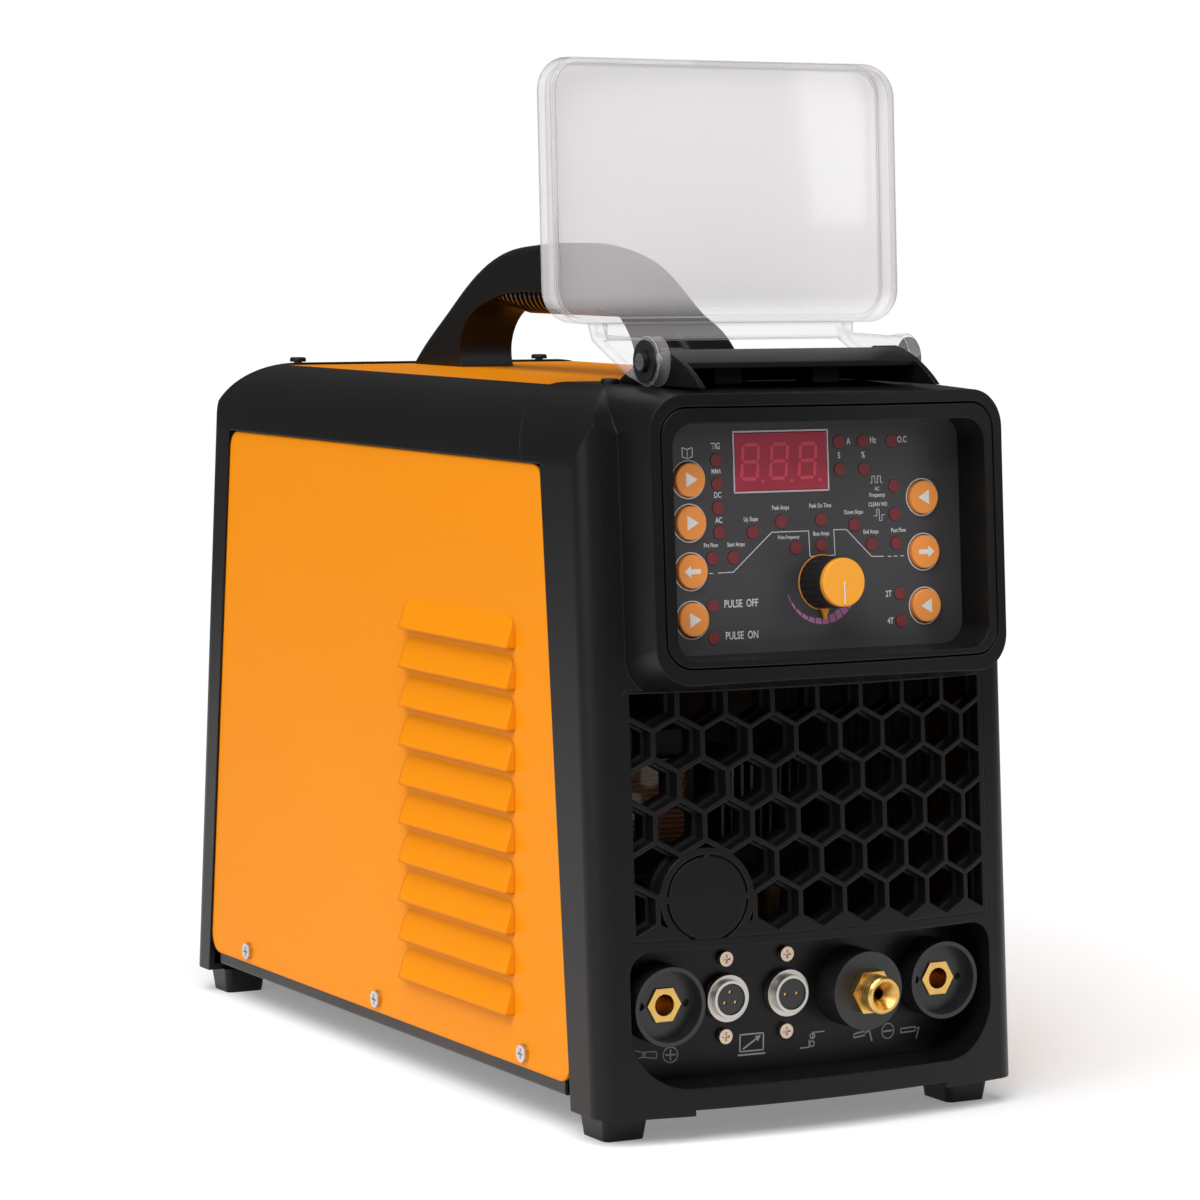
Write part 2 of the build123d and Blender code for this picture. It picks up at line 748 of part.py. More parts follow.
# ------------------------------------------------------------------ control bezel (insert)
def make_control_bezel():
    panel_front = [(panel_y + front_lean * (z - panel_mid_z) - part_gap, z) for z in (100, 400)]
    behind = across([*panel_front, (front_y + far, 400), (front_y + far, 100)], half_width)
    with BuildPart() as control_bezel:
        add(rounded_bar(bezel_half() - bezel_groove, bezel_low() + bezel_groove,
                        bezel_high() - bezel_groove, hood_corner - lip_width - bezel_groove,
                        front_y - 20, front_y + 60))
        add(bowed_block(half_width, lip_foot_y, front_y + far, -10, casing_height + 20,
                        hood_lean, hood_bow), mode=Mode.INTERSECT)
        add(behind, mode=Mode.SUBTRACT)
        add(rounded_bar(opening_half_width, opening_bottom, opening_top, opening_corner,
                        front_y - 20, front_y + 60), mode=Mode.SUBTRACT)
    save(control_bezel, "control_bezel")


# ----------------------------------------------------------- socket panel and its sockets
def make_socket_panel():
    with BuildPart() as socket_panel:
        add(bowed_block(recess_half_width + cover_wall - 0.5, port_wall_y, port_wall_y + far,
                        recess_bottom - 2, recess_top + 2, 0.0, face_bow))
        add(bowed_block(half_width, port_wall_y + socket_plate_wall, port_wall_y + 2 * far,
                        0, casing_height, 0.0, face_bow - socket_plate_wall),
            mode=Mode.SUBTRACT)
        for side in (-1, 1):
            rod((side * weld_socket_x, front_y, port_z), weld_neck_radius + part_gap, 100,
                "y", Mode.SUBTRACT)
        for x in control_socket_x.values():
            rod((x, front_y, port_z), control_neck_radius + part_gap, 100, "y", Mode.SUBTRACT)
            for z in (port_z + control_screw_pitch / 2, port_z - control_screw_pitch / 2):
                rod((x, front_y, z), control_screw_radius + 0.1, 100, "y", Mode.SUBTRACT)
        rod((gas_x, front_y, port_z), gas_neck_radius + part_gap, 100, "y", Mode.SUBTRACT)
    save(socket_panel, "socket_panel")


def port_face(x):
    """Y of the bowed socket panel at one x."""
    return port_wall_y + face_bow - math.sqrt(face_bow**2 - x**2)


def flat_seat(x, radius):
    """Y of the furthest-forward point of the panel under a flange at x."""
    return port_face(max(abs(x) - radius, 0.0)) - part_gap


def make_weld_sockets():
    with BuildPart() as weld_sockets:
        for side in (-1, 1):
            x = side * weld_socket_x
            rim = port_face(x) - weld_socket_proud
            seat = flat_seat(x, weld_socket_radius)
            floor = rim + weld_cup_depth
            add(turned([(weld_core_radius, floor), (weld_cup_radius, floor),
                        (weld_cup_radius, rim), (weld_socket_radius, rim),
                        (weld_socket_radius, seat), (weld_neck_radius, seat),
                        (weld_neck_radius, seat + weld_body_length),
                        (weld_core_radius, seat + weld_body_length)], x, port_z))
            for key in (-1, 1):
                rod((x + key * 0.5 * (weld_cup_radius + weld_core_radius), floor - 1, port_z),
                    1.6, 3.0, "y", Mode.SUBTRACT)
    with BuildPart() as weld_socket_inserts:
        for side in (-1, 1):
            x = side * weld_socket_x
            rim = port_face(x) - weld_socket_proud
            seat = flat_seat(x, weld_socket_radius)
            with BuildSketch(Plane.XZ.offset(-(rim + weld_insert_set))):
                with Locations((x, port_z)):
                    RegularPolygon(weld_hex / 2, 6, major_radius=False)
            extrude(amount=weld_insert_set + running_fit - weld_cup_depth)
            rod((x, rim + weld_insert_set + 0.5, port_z), weld_core_radius - running_fit,
                seat + weld_body_length + 4 - rim - weld_insert_set - 0.5, "y")
            rod((x, rim - 1, port_z), weld_bore_radius, weld_insert_set + weld_bore_depth, "y",
                Mode.SUBTRACT)
    save(weld_sockets, "weld_sockets")
    save(weld_socket_inserts, "weld_socket_inserts")


def make_control_sockets():
    with BuildPart() as shells:
        for x in control_socket_x.values():
            seat = flat_seat(x, control_flange_radius + 2)
            rim = port_face(x) - control_socket_proud
            core = control_core_radius + part_gap / 2
            add(turned([(core, rim), (control_socket_radius, rim),
                        (control_socket_radius, seat - 3.5), (control_flange_radius, seat - 3.5),
                        (control_flange_radius, seat), (control_neck_radius, seat),
                        (control_neck_radius, seat + 12), (core, seat + 12)], x, port_z))
    with BuildPart() as cores:
        for name, x in control_socket_x.items():
            rim = port_face(x) - control_socket_proud
            rod((x, rim + control_core_set, port_z), control_core_radius, 16, "y")
            for dx, dz in control_pin_places[name]:
                rod((x + dx, rim, port_z + dz), control_pin_radius + running_fit, 30, "y",
                    Mode.SUBTRACT)
    with BuildPart() as pins:
        for name, x in control_socket_x.items():
            rim = port_face(x) - control_socket_proud
            for dx, dz in control_pin_places[name]:
                rod((x + dx, rim + 1.5, port_z + dz), control_pin_radius, 20, "y")
    with BuildPart() as screws:
        for x in control_socket_x.values():
            for z in (port_z + control_screw_pitch / 2, port_z - control_screw_pitch / 2):
                seat = flat_seat(x, control_screw_head)
                rod((x, seat - 2.4, z), control_screw_head, 2.4, "y")
                rod((x, seat - 0.1, z), control_screw_radius, 8, "y")
                with Locations((x, seat - 2.4, z)):
                    Box(3.6, 1.6, 0.8, mode=Mode.SUBTRACT)
                    Box(0.8, 1.6, 3.6, mode=Mode.SUBTRACT)
    save(shells, "control_socket_shells")
    save(cores, "control_socket_cores")
    save(pins, "control_socket_pins")
    save(screws, "control_socket_screws")


def make_gas_outlet():
    face = port_face(gas_x) - gas_flange_proud
    seat = flat_seat(gas_x, gas_flange_radius)
    with BuildPart() as gas_outlet_flange:
        add(turned([(gas_neck_inner, face), (gas_flange_radius, face),
                    (gas_flange_radius, seat), (gas_neck_radius, seat),
                    (gas_neck_radius, seat + 10), (gas_neck_inner, seat + 10)], gas_x, port_z))
        fill_box((gas_x - 2, seat - 4, port_z + gas_flange_radius - 1.6),
                 (gas_x + 2, seat + 1, port_z + gas_flange_radius + 2), Mode.SUBTRACT)
    tip = face - gas_thread_reach
    hex_back = face - part_gap / 2
    with BuildPart() as gas_outlet:
        with BuildSketch(Plane.XZ.offset(-hex_back)):
            with Locations((gas_x, port_z)):
                RegularPolygon(gas_hex / 2, 6, major_radius=False)
        extrude(amount=gas_hex_thickness)
        add(turned([(gas_bore_radius, tip + gas_cone_depth), (gas_mouth_radius, tip),
                    (gas_thread_radius - 0.8, tip), (gas_thread_radius, tip + 0.8),
                    (gas_thread_radius, hex_back - 0.5), (gas_neck_inner - 0.15, hex_back - 0.5),
                    (gas_neck_inner - 0.15, seat + 22), (gas_bore_radius, seat + 22)],
                   gas_x, port_z))
        for turn in range(gas_groove_count):
            y = tip + 1.6 + turn * gas_thread_pitch
            add(turned([(gas_thread_radius - 0.7, y), (gas_thread_radius + 1, y - 0.45),
                        (gas_thread_radius + 1, y + 0.45)], gas_x, port_z), mode=Mode.SUBTRACT)
        rod((gas_x, tip - 1, port_z), gas_bore_radius, 80, "y", Mode.SUBTRACT)
    save(gas_outlet_flange, "gas_outlet_flange")
    save(gas_outlet, "gas_outlet")


# -------------------------------------------------- hinge bracket and clear lid with pins
def bracket_profile(inset):
    """The bracket's side view: a quarter-round arm rising to a shallow visor."""
    toe = front_y + bracket_setback
    base = casing_height + part_gap
    with BuildPart(mode=Mode.PRIVATE) as bar:
        with BuildSketch(Plane.YZ.offset(-bracket_half_width + inset)):
            with BuildLine():
                Line((toe + inset, base), (toe + inset + bracket_length - 2 * inset, base))
                ThreePointArc((toe + bracket_length - inset, base),
                              (toe + bracket_length * 0.72, base + bracket_rise * 0.62 - inset),
                              (toe + bracket_crest, base + bracket_rise - inset))
                ThreePointArc((toe + bracket_crest, base + bracket_rise - inset),
                              (toe + bracket_visor, base + bracket_rise * 0.66 - inset),
                              (toe + inset, base))
            make_face()
        extrude(amount=2 * (bracket_half_width - inset))
    return bar.part


def make_lid_bracket():
    toe = front_y + bracket_setback
    axis_half = bracket_half_width - bracket_wall
    with BuildPart() as lid_bracket:
        add(bracket_profile(0.0))
        add(bracket_profile(bracket_wall), mode=Mode.SUBTRACT)
        # The visor is open in front, between the arms.
        fill_box((-axis_half, toe - 5, 0), (axis_half, toe + bracket_visor, casing_height + 60),
                 Mode.SUBTRACT)
        for side in (-1, 1):
            inner, outer = sorted((side * bracket_post_x[0], side * bracket_post_x[1]))
            fill_box((inner, hinge_y + 1, casing_height + part_gap),
                     (outer, hinge_y + 14, casing_height + bracket_rise - bracket_wall + 0.5))
            start = -bracket_half_width if side < 0 else axis_half - 8
            rod((start, hinge_y, hinge_z), bracket_boss, bracket_wall + 8, "x")
        rod((-far / 2, hinge_y, hinge_z), pivot_radius + running_fit, far, "x", Mode.SUBTRACT)
        fill_box((-axis_half + 14, hinge_y + 3, casing_height + bracket_rise - 0.8),
                 (axis_half - 14, hinge_y + 10, casing_height + 60), Mode.SUBTRACT)
    save(lid_bracket, "lid_bracket")


def leaning(y, z):
    """Y on a plane that leans with the hood and passes `y` at the hood's foot."""
    return y + hood_lean * (z - hood_bottom)


def closed_lid():
    """The clear lid as it lies shut over the hood."""
    side_lip = front_y + hood_bow - math.sqrt(hood_bow**2 - hood_half_width**2)
    plate = side_lip - lid_stand_off
    top = hood_top - lid_top_drop
    foot = hood_bottom + lid_foot_rise
    with BuildPart(mode=Mode.PRIVATE) as lid:
        add(rounded_bar(hood_half_width, foot, top, hood_corner - 1.5,
                        front_y - 40, front_y + 40))
        add(rounded_bar(hood_half_width - lid_wall, foot + lid_wall, top - lid_wall,
                        hood_corner - 1.5 - lid_wall, front_y - 40, front_y + 40) &
            across([(leaning(plate + lid_wall, 0), 0), (leaning(plate + lid_wall, 400), 400),
                    (far, 400), (far, 0)], half_width), mode=Mode.SUBTRACT)
        add(across([(leaning(plate, 0), 0), (leaning(plate, 400), 400), (-far, 400), (-far, 0)],
                   half_width), mode=Mode.SUBTRACT)
        add(bowed_block(half_width, lip_foot_y - lid_lip_gap, front_y + far, -10,
                        casing_height + 20, hood_lean, hood_bow), mode=Mode.SUBTRACT)
        inner = bracket_half_width + lug_gap
        for side in (-1, 1):
            middle = side * (inner + lug_width / 2)
            over = casing_height + lid_top_gap
            add(across([(front_y + 3.0, top - lid_wall), (front_y + 2.0, top - 0.5),
                        (front_y + 7.0, top + 7.5), (hinge_y - 31, hinge_z + 0.5),
                        (hinge_y - 15, hinge_z + 7), (hinge_y, hinge_z + lug_radius - 0.2),
                        (hinge_y, over), (front_y + 10.2, over),
                        (front_y + 10.2, top - lid_wall)], lug_width / 2, middle))
            start = middle - lug_width / 2
            rod((start, hinge_y, hinge_z), lug_radius, lug_width, "x")
            rod((start - 1, hinge_y, hinge_z), pivot_radius + running_fit, lug_width + 2, "x",
                Mode.SUBTRACT)
        add(across([(front_y + 2.0, top - 0.5), (front_y + 4.6, top - 0.5),
                    (front_y + 9.4, top + 6.6), (front_y + 7.0, top + 7.5)], inner + 1))
    return lid.part


def make_lid():
    hinge = Axis((0, hinge_y, hinge_z), (1, 0, 0))
    with BuildPart() as lid:
        add(closed_lid().rotate(hinge, -lid_swing))
    with BuildPart() as lid_pivots:
        for side, turn in ((-1, -90), (1, 90)):
            face = bracket_half_width + 3 * lug_gap + lug_width + washer_width
            with Locations(Location((side * face, hinge_y, hinge_z), (0, turn, 0))):
                Cylinder(pivot_radius, face - bracket_half_width + 9,
                         align=(Align.CENTER, Align.CENTER, Align.MAX))
                Cylinder(pivot_head, 1.8, align=(Align.CENTER, Align.CENTER, Align.MIN))
            with Locations(Location((side * (face + 1.8), hinge_y, hinge_z), (0, turn, 0))):
                Box(0.9, 6.0, 1.4, mode=Mode.SUBTRACT)
            with Locations(Location((side * (face - lug_gap), hinge_y, hinge_z), (0, turn, 0))):
                Cylinder(washer_radius, washer_width,
                         align=(Align.CENTER, Align.CENTER, Align.MAX))
    save(lid, "lid")
    save(lid_pivots, "lid_pivots")


# ------------------------------------------------- control panel, buttons, knob, display
def on_panel(x, z, out=0.0):
    """A place on the leaning control panel, `out` in front of it."""
    return panel_plane.location * Location((x, z - panel_mid_z, out))


def button_places():
    places = {name: (-button_x, z) for name, z in left_button_z.items()}
    places.update({name: (button_x, z) for name, z in right_button_z.items()})
    return places


def make_control_panel():
    half = bezel_half() - bezel_groove
    with BuildPart() as control_panel:
        with BuildSketch(Plane(on_panel(0, (bezel_low() + bezel_high()) / 2))):
            RectangleRounded(2 * half, bezel_high() - bezel_low() - 3 * bezel_groove,
                             hood_corner - lip_width)
        extrude(amount=-panel_thickness)
        for x, z in button_places().values():
            with Locations(on_panel(x, z)):
                Cylinder(button_radius + button_gap, 20, mode=Mode.SUBTRACT)
        for x, z in led_places:
            with Locations(on_panel(x, z)):
                Cylinder(led_radius, 20, mode=Mode.SUBTRACT)
        with Locations(on_panel(display_x, display_z)):
            Box(display_width, display_height, 20, mode=Mode.SUBTRACT)
        with Locations(on_panel(knob_x, knob_z)):
            Cylinder(encoder_bush + part_gap, 20, mode=Mode.SUBTRACT)
    save(control_panel, "control_panel")
    with BuildPart() as status_leds:
        for x, z in led_places:
            with Locations(on_panel(x, z, -led_length + 0.3)):
                Cylinder(led_radius - 0.15, led_length,
                         align=(Align.CENTER, Align.CENTER, Align.MIN))
    save(status_leds, "status_leds")
    with BuildPart() as display_window:
        with Locations(on_panel(display_x, display_z, -panel_thickness)):
            Box(display_width - 2 * part_gap, display_height - 2 * part_gap,
                panel_thickness + 0.2, align=(Align.CENTER, Align.CENTER, Align.MIN))
    save(display_window, "display_window")
    with BuildPart() as display_module:
        with Locations(on_panel(display_x, display_z, -panel_thickness - part_gap)):
            Box(display_width - 4, display_height - 5, board_setback - panel_thickness - 2 * part_gap,
                align=(Align.CENTER, Align.CENTER, Align.MAX))
        for digit in (-1, 0, 1):
            with Locations(on_panel(display_x + digit * digit_pitch, display_z,
                                    -panel_thickness - part_gap)):
                Box(digit_width, digit_height, 1.2, mode=Mode.SUBTRACT)
    save(display_module, "display_module")


def make_buttons():
    for name, (x, z) in button_places().items():
        with BuildPart() as button:
            with Locations(on_panel(x, z, button_proud)):
                Cylinder(button_radius, button_proud + panel_thickness + 2.0,
                         align=(Align.CENTER, Align.CENTER, Align.MAX))
            crown = button.faces().sort_by(Axis.Y)[0]
            fillet(crown.edges(), button_crown)
            with Locations(on_panel(x, z, -panel_thickness - 2.0)):
                Cylinder(2.5, button_stem, align=(Align.CENTER, Align.CENTER, Align.MAX))
        save(button, name + "_button")
    with BuildPart() as button_switches:
        for x, z in button_places().values():
            stem_end = panel_thickness + 2.0 + button_stem
            with Locations(on_panel(x, z, -stem_end - button_travel - part_gap)):
                Box(6.0, 6.0, board_setback - stem_end - button_travel - 2 * part_gap,
                    align=(Align.CENTER, Align.CENTER, Align.MAX))
    save(button_switches, "button_switches")
    with BuildPart() as control_board:
        with BuildSketch(Plane(on_panel(0, (opening_bottom + opening_top) / 2, -board_setback))):
            RectangleRounded(2 * bezel_half() - 6, opening_top - opening_bottom - 4, 6)
        extrude(amount=-board_thickness)
    save(control_board, "control_board")


def make_knob():
    with BuildPart() as encoder:
        with Locations(on_panel(knob_x, knob_z, -panel_thickness - part_gap)):
            Box(13, 13, board_setback - panel_thickness - 2 * part_gap,
                align=(Align.CENTER, Align.CENTER, Align.MAX))
            Cylinder(encoder_bush, panel_thickness + part_gap,
                     align=(Align.CENTER, Align.CENTER, Align.MIN))
        with Locations(on_panel(knob_x, knob_z, -panel_thickness - 6)):
            Cylinder(shaft_radius + shaft_clearance, 40,
                     align=(Align.CENTER, Align.CENTER, Align.MIN), mode=Mode.SUBTRACT)
    save(encoder, "encoder")
    with BuildPart() as current_knob:
        with BuildSketch(Plane(panel_plane.location * Location((knob_x, knob_z - panel_mid_z,
                                                                knob_lift)))):
            Circle(knob_skirt)
        extrude(amount=knob_height - knob_cap_depth - knob_lift, taper=knob_draft)
        flutes = [n * 360 / knob_flutes for n in range(knob_flutes)]
        for angle in flutes:
            turn = Location((0, 0, 0), (0, 0, angle))
            with Locations(on_panel(knob_x, knob_z, 0) * turn * Location((knob_skirt + 0.25, 0, 0))):
                Cylinder(0.85, 60, mode=Mode.SUBTRACT)
        with Locations(on_panel(knob_x, knob_z, -panel_thickness - 5)):
            Cylinder(shaft_radius, 12, align=(Align.CENTER, Align.CENTER, Align.MIN))
    save(current_knob, "current_knob")
    with BuildPart() as knob_cap:
        with Locations(on_panel(knob_x, knob_z, knob_height - knob_cap_depth + 0.05)):
            Cylinder(knob_radius - 0.5, knob_cap_depth,
                     align=(Align.CENTER, Align.CENTER, Align.MIN))
        fillet(knob_cap.faces().sort_by(Axis.Y)[0].edges(), 0.8)
        with Locations(on_panel(knob_x, knob_z - knob_radius / 2, knob_height)):
            Box(0.9, knob_radius - 1.5, 0.8, mode=Mode.SUBTRACT)
    save(knob_cap, "knob_cap")


# ------------------------------------------------------------- carrying handle with grip
def handle_point(setback, z):
    """A point of the handle's side view, measured back from its front toe."""
    return (front_y + handle_front_setback + setback, z)


def make_handle():
    rear = rear_y - handle_rear_setback
    heel = deck_z + part_gap
    arch = handle_top
    with BuildPart() as handle:
        with BuildSketch(Plane.YZ.offset(-handle_half_width)):
            with BuildLine():
                Spline((front_y + handle_front_setback - 4, heel), handle_point(10, arch - 45),
                       handle_point(21, arch - 37), handle_point(35, arch - 31),
                       handle_point(56, arch - 19), handle_point(76, arch - 9),
                       handle_point(103, arch - 2.5), handle_point(128, arch),
                       (rear - 121.5, arch - 1.2), (rear - 100.6, arch - 3.3),
                       (rear - 79.3, arch - 9.1), (rear - 57.6, arch - 19.8),
                       (rear - 35.5, arch - 34.1), (rear - 14.4, arch - 47.9),
                       (rear, heel))
                Line((rear, heel), (rear - handle_post, heel))
                Spline((rear - handle_post, heel), (rear - handle_post, heel + 15),
                       (rear - handle_post - 7, arch - 36), (rear - handle_post - 24, arch - 28.5),
                       (rear - handle_post - 42, arch - 24.2),
                       (rear - handle_post - 65, arch - 22.7))
                Line((rear - handle_post - 65, arch - 22.7), handle_point(104, arch - 22.7))
                Spline(handle_point(104, arch - 22.7), handle_point(88, arch - 24.6),
                       handle_point(70, arch - 31), handle_point(57, arch - 42),
                       handle_point(51, heel))
                Line(handle_point(51, heel), (front_y + handle_front_setback - 4, heel))
            make_face()
        extrude(amount=2 * handle_half_width)
        long_edges = [e for e in handle.edges() if e.center().Z > heel + 3 and e.length > 40
                      and abs(abs(e.center().X) - handle_half_width) < 0.01]
        outer = sorted(long_edges, key=lambda e: -e.length)[:2]
        fillet(outer, handle_round)
        for y in handle_screws():
            rod((0, y, heel - 1), screw_radius - running_fit, 16, "z", Mode.SUBTRACT)
        # The underside of the arch is hollow where the grip sits.
        add(grip_block(0.15, handle_half_width - 3, arch - 14), mode=Mode.SUBTRACT)
    save(handle, "handle")


def handle_screws():
    """Y of the four screws that hold the handle from below."""
    rear = rear_y - handle_rear_setback
    front = front_y + handle_front_setback
    return (front + 12.5, front + 38, rear - handle_post / 2 - 12, rear - handle_post / 2 + 12)


def grip_block(grow, half, top):
    """The grip's body: a half ellipse under the arch."""
    front = handle_point(68, 0)[0] - grow
    rear = rear_y - handle_rear_setback - handle_post - 26 + grow
    middle = (front + rear) / 2
    with BuildPart(mode=Mode.PRIVATE) as block:
        with BuildSketch(Plane.XY.offset(top + grow)):
            with Locations((0, middle)):
                RectangleRounded(2 * (half + grow), rear - front, 1)
        extrude(amount=-(top + grow - grip_under + 1))
    return block.part


def make_handle_grip():
    arch = handle_top
    front = handle_point(68, 0)[0]
    rear = rear_y - handle_rear_setback - handle_post - 26
    middle = (front + rear) / 2
    reach = (rear - front) / 2
    count = int(2 * reach / grip_fin_pitch)
    start = middle - (count - 1) * grip_fin_pitch / 2
    fins = [start + n * grip_fin_pitch for n in range(count)]
    with BuildPart() as handle_grip:
        with BuildSketch(Plane.XZ.offset(-front)):
            Ellipse(handle_half_width - 5, grip_core_depth)
            with Locations((0, 10)):
                Rectangle(60, 20, mode=Mode.SUBTRACT)
        extrude(amount=front - rear)
        base = arch - 22.7
        handle_grip.part = handle_grip.part.moved(Location((0, 0, base)))
        fill_box((-handle_half_width + 5, front, base - 0.1),
                 (handle_half_width - 5, rear, arch - 14 - part_gap))
        for y in fins:
            share = min(1.0, (1.0 - abs(y - middle) / (reach + 8)) * 2.4)
            depth = grip_core_depth + (base - grip_under - grip_core_depth) * share
            with BuildSketch(Plane.XZ.offset(-(y - grip_fin / 2))):
                with Locations((0, base)):
                    Ellipse(handle_half_width - 3.2, depth)
                with Locations((0, base + 12.5)):
                    Rectangle(60, 20, mode=Mode.SUBTRACT)
            extrude(amount=-grip_fin)
    save(handle_grip, "handle_grip")


def make_top_screws():
    with BuildPart() as handle_screw_set:
        for y in handle_screws():
            rod((0, y, deck_z - sheet - part_gap - 2.2), screw_head_radius, 2.2, "z")
            rod((0, y, deck_z - sheet - part_gap - 0.1), screw_radius - 2 * running_fit, 13, "z")
    save(handle_screw_set, "handle_screws")
    with BuildPart() as cover_screws:
        for end, base, toward in (("front", front_y, 1), ("rear", rear_y, -1)):
            for side in (-1, 1):
                x = side * cover_screw_x[end]
                y = base + toward * cover_screw_setback[end]
                rod((x, y, casing_height + 0.05), screw_head_radius, screw_head_height, "z")
                rod((x, y, casing_height - 8), screw_radius - running_fit, 8.5, "z")
                with Locations((x, y, casing_height + screw_head_height)):
                    Cylinder(1.4, 1.6, mode=Mode.SUBTRACT)
        fillet([e for e in cover_screws.edges() if e.geom_type == GeomType.CIRCLE
                and abs(e.center().Z - casing_height - screw_head_height - 0.05) < 0.01
                and e.length > 20], 0.9)
    save(cover_screws, "cover_screws")


# ------------------------------------------------------------ rear cover and its fittings
def rear_shell(inset):
    """The rear cover's solid outline, or its inside."""
    foot = rear_y + rear_lean * rear_face_foot - inset
    with BuildPart(mode=Mode.PRIVATE) as shell:
        add(bowed_block(half_width - inset, foot, rear_y - rear_cover_depth,
                        foot_height + inset, casing_height + 1, -rear_lean,
                        rear_bow - inset, 0.0 if inset else face_corner,
                        0.6 * face_corner if inset else 0.0) & casing_section(inset))
        radius = rear_shoulder - inset
        face_top = foot - rear_lean * casing_height
        with BuildSketch(Plane.YZ.offset(-far / 2)):
            with BuildLine():
                Polyline((face_top, casing_height - inset - radius),
                         (face_top + 60, casing_height - inset - radius),
                         (face_top + 60, casing_height + 20),
                         (face_top - radius, casing_height + 20),
                         (face_top - radius, casing_height - inset))
                CenterArc((face_top - radius, casing_height - inset - radius), radius, 0, 90)
            make_face()
        extrude(amount=far, mode=Mode.SUBTRACT)
        # The lower edge is rolled under.
        low = foot_height + inset
        roll = rear_roll - inset
        with BuildSketch(Plane.YZ.offset(-far / 2)):
            with BuildLine():
                Polyline((rear_y - inset - roll, low), (rear_y - inset - roll, low - 20),
                         (rear_y + 20, low - 20), (rear_y + 20, low + roll),
                         (rear_y - inset, low + roll))
                CenterArc((rear_y - inset - roll, low + roll), roll, 0, -90)
            make_face()
        extrude(amount=far, mode=Mode.SUBTRACT)
    return shell.part


def rear_region():
    """Side view of everything behind the rear cover's seam."""
    seam = rear_y
    low = panel_top + seam_gap
    with BuildPart(mode=Mode.PRIVATE) as bar:
        with BuildSketch(Plane.YZ.offset(-far / 2)):
            with BuildLine():
                ThreePointArc((seam - rear_seam_side, low),
                              (seam - rear_seam_middle, low + seam_middle_rise),
                              (seam - rear_seam_top, deck_z + 0.4))
                Polyline((seam - rear_seam_top, deck_z + 0.4), (seam - rear_seam_top, far),
                         (rear_y + 60, far), (rear_y + 60, -10),
                         (rear_seam_y(-10) + seam_gap, -10),
                         (rear_seam_y(low) + seam_gap, low),
                         (seam - rear_seam_side, low))
            make_face()
        extrude(amount=far)
    return bar.part


def rear_wall_y(z):
    """Y of the inside of the rear wall on the centre line."""
    return rear_y - cover_wall - rear_lean * (z - rear_face_foot)


def make_rear_cover():
    with BuildPart() as rear_cover:
        add(rear_shell(0.0))
        add(rear_region(), mode=Mode.INTERSECT)
        add(rear_shell(cover_wall), mode=Mode.SUBTRACT)
        for side in (-1, 1):
            add(tapered_foot(side * foot_x, rear_y - rear_foot_setback, rear_foot_length))
            with Locations((side * cover_screw_x["rear"],
                            rear_y - cover_screw_setback["rear"], casing_height)):
                Cylinder(screw_radius, 4 * cover_wall, mode=Mode.SUBTRACT)
        rod((0, rear_y - 60, fan_z), fan_bore, 100, "y", Mode.SUBTRACT)
        for x in (-1, 1):
            for z in (-1, 1):
                rod((x * fan_screw_pitch / 2, rear_y - 60, fan_z + z * fan_screw_pitch / 2),
                    screw_radius, 100, "y", Mode.SUBTRACT)
        rod((gland_x, rear_y - 60, rear_fitting_z), gland_neck + part_gap, 100, "y",
            Mode.SUBTRACT)
        rod((gas_inlet_x, rear_y - 60, gas_inlet_z), gas_inlet_neck + part_gap, 100, "y",
            Mode.SUBTRACT)
        fill_box((switch_x - switch_width / 2 - part_gap, rear_y - 60,
                  rear_fitting_z - switch_height / 2 - part_gap),
                 (switch_x + switch_width / 2 + part_gap, rear_y + 20,
                  rear_fitting_z + switch_height / 2 + part_gap), Mode.SUBTRACT)
        for row in range(vent_rows):
            z = vent_first - row * vent_pitch
            fill_box((-vent_half_width, rear_y - 30, z), (vent_half_width, rear_y + 20, z + 4),
                     Mode.SUBTRACT)
    save(rear_cover, "rear_cover")


def rear_plane_y(x, z):
    """Y of the outside of the rear cover at one point."""
    bow = rear_bow - math.sqrt(rear_bow**2 - x**2)
    return rear_y - bow - rear_lean * (z - rear_face_foot)


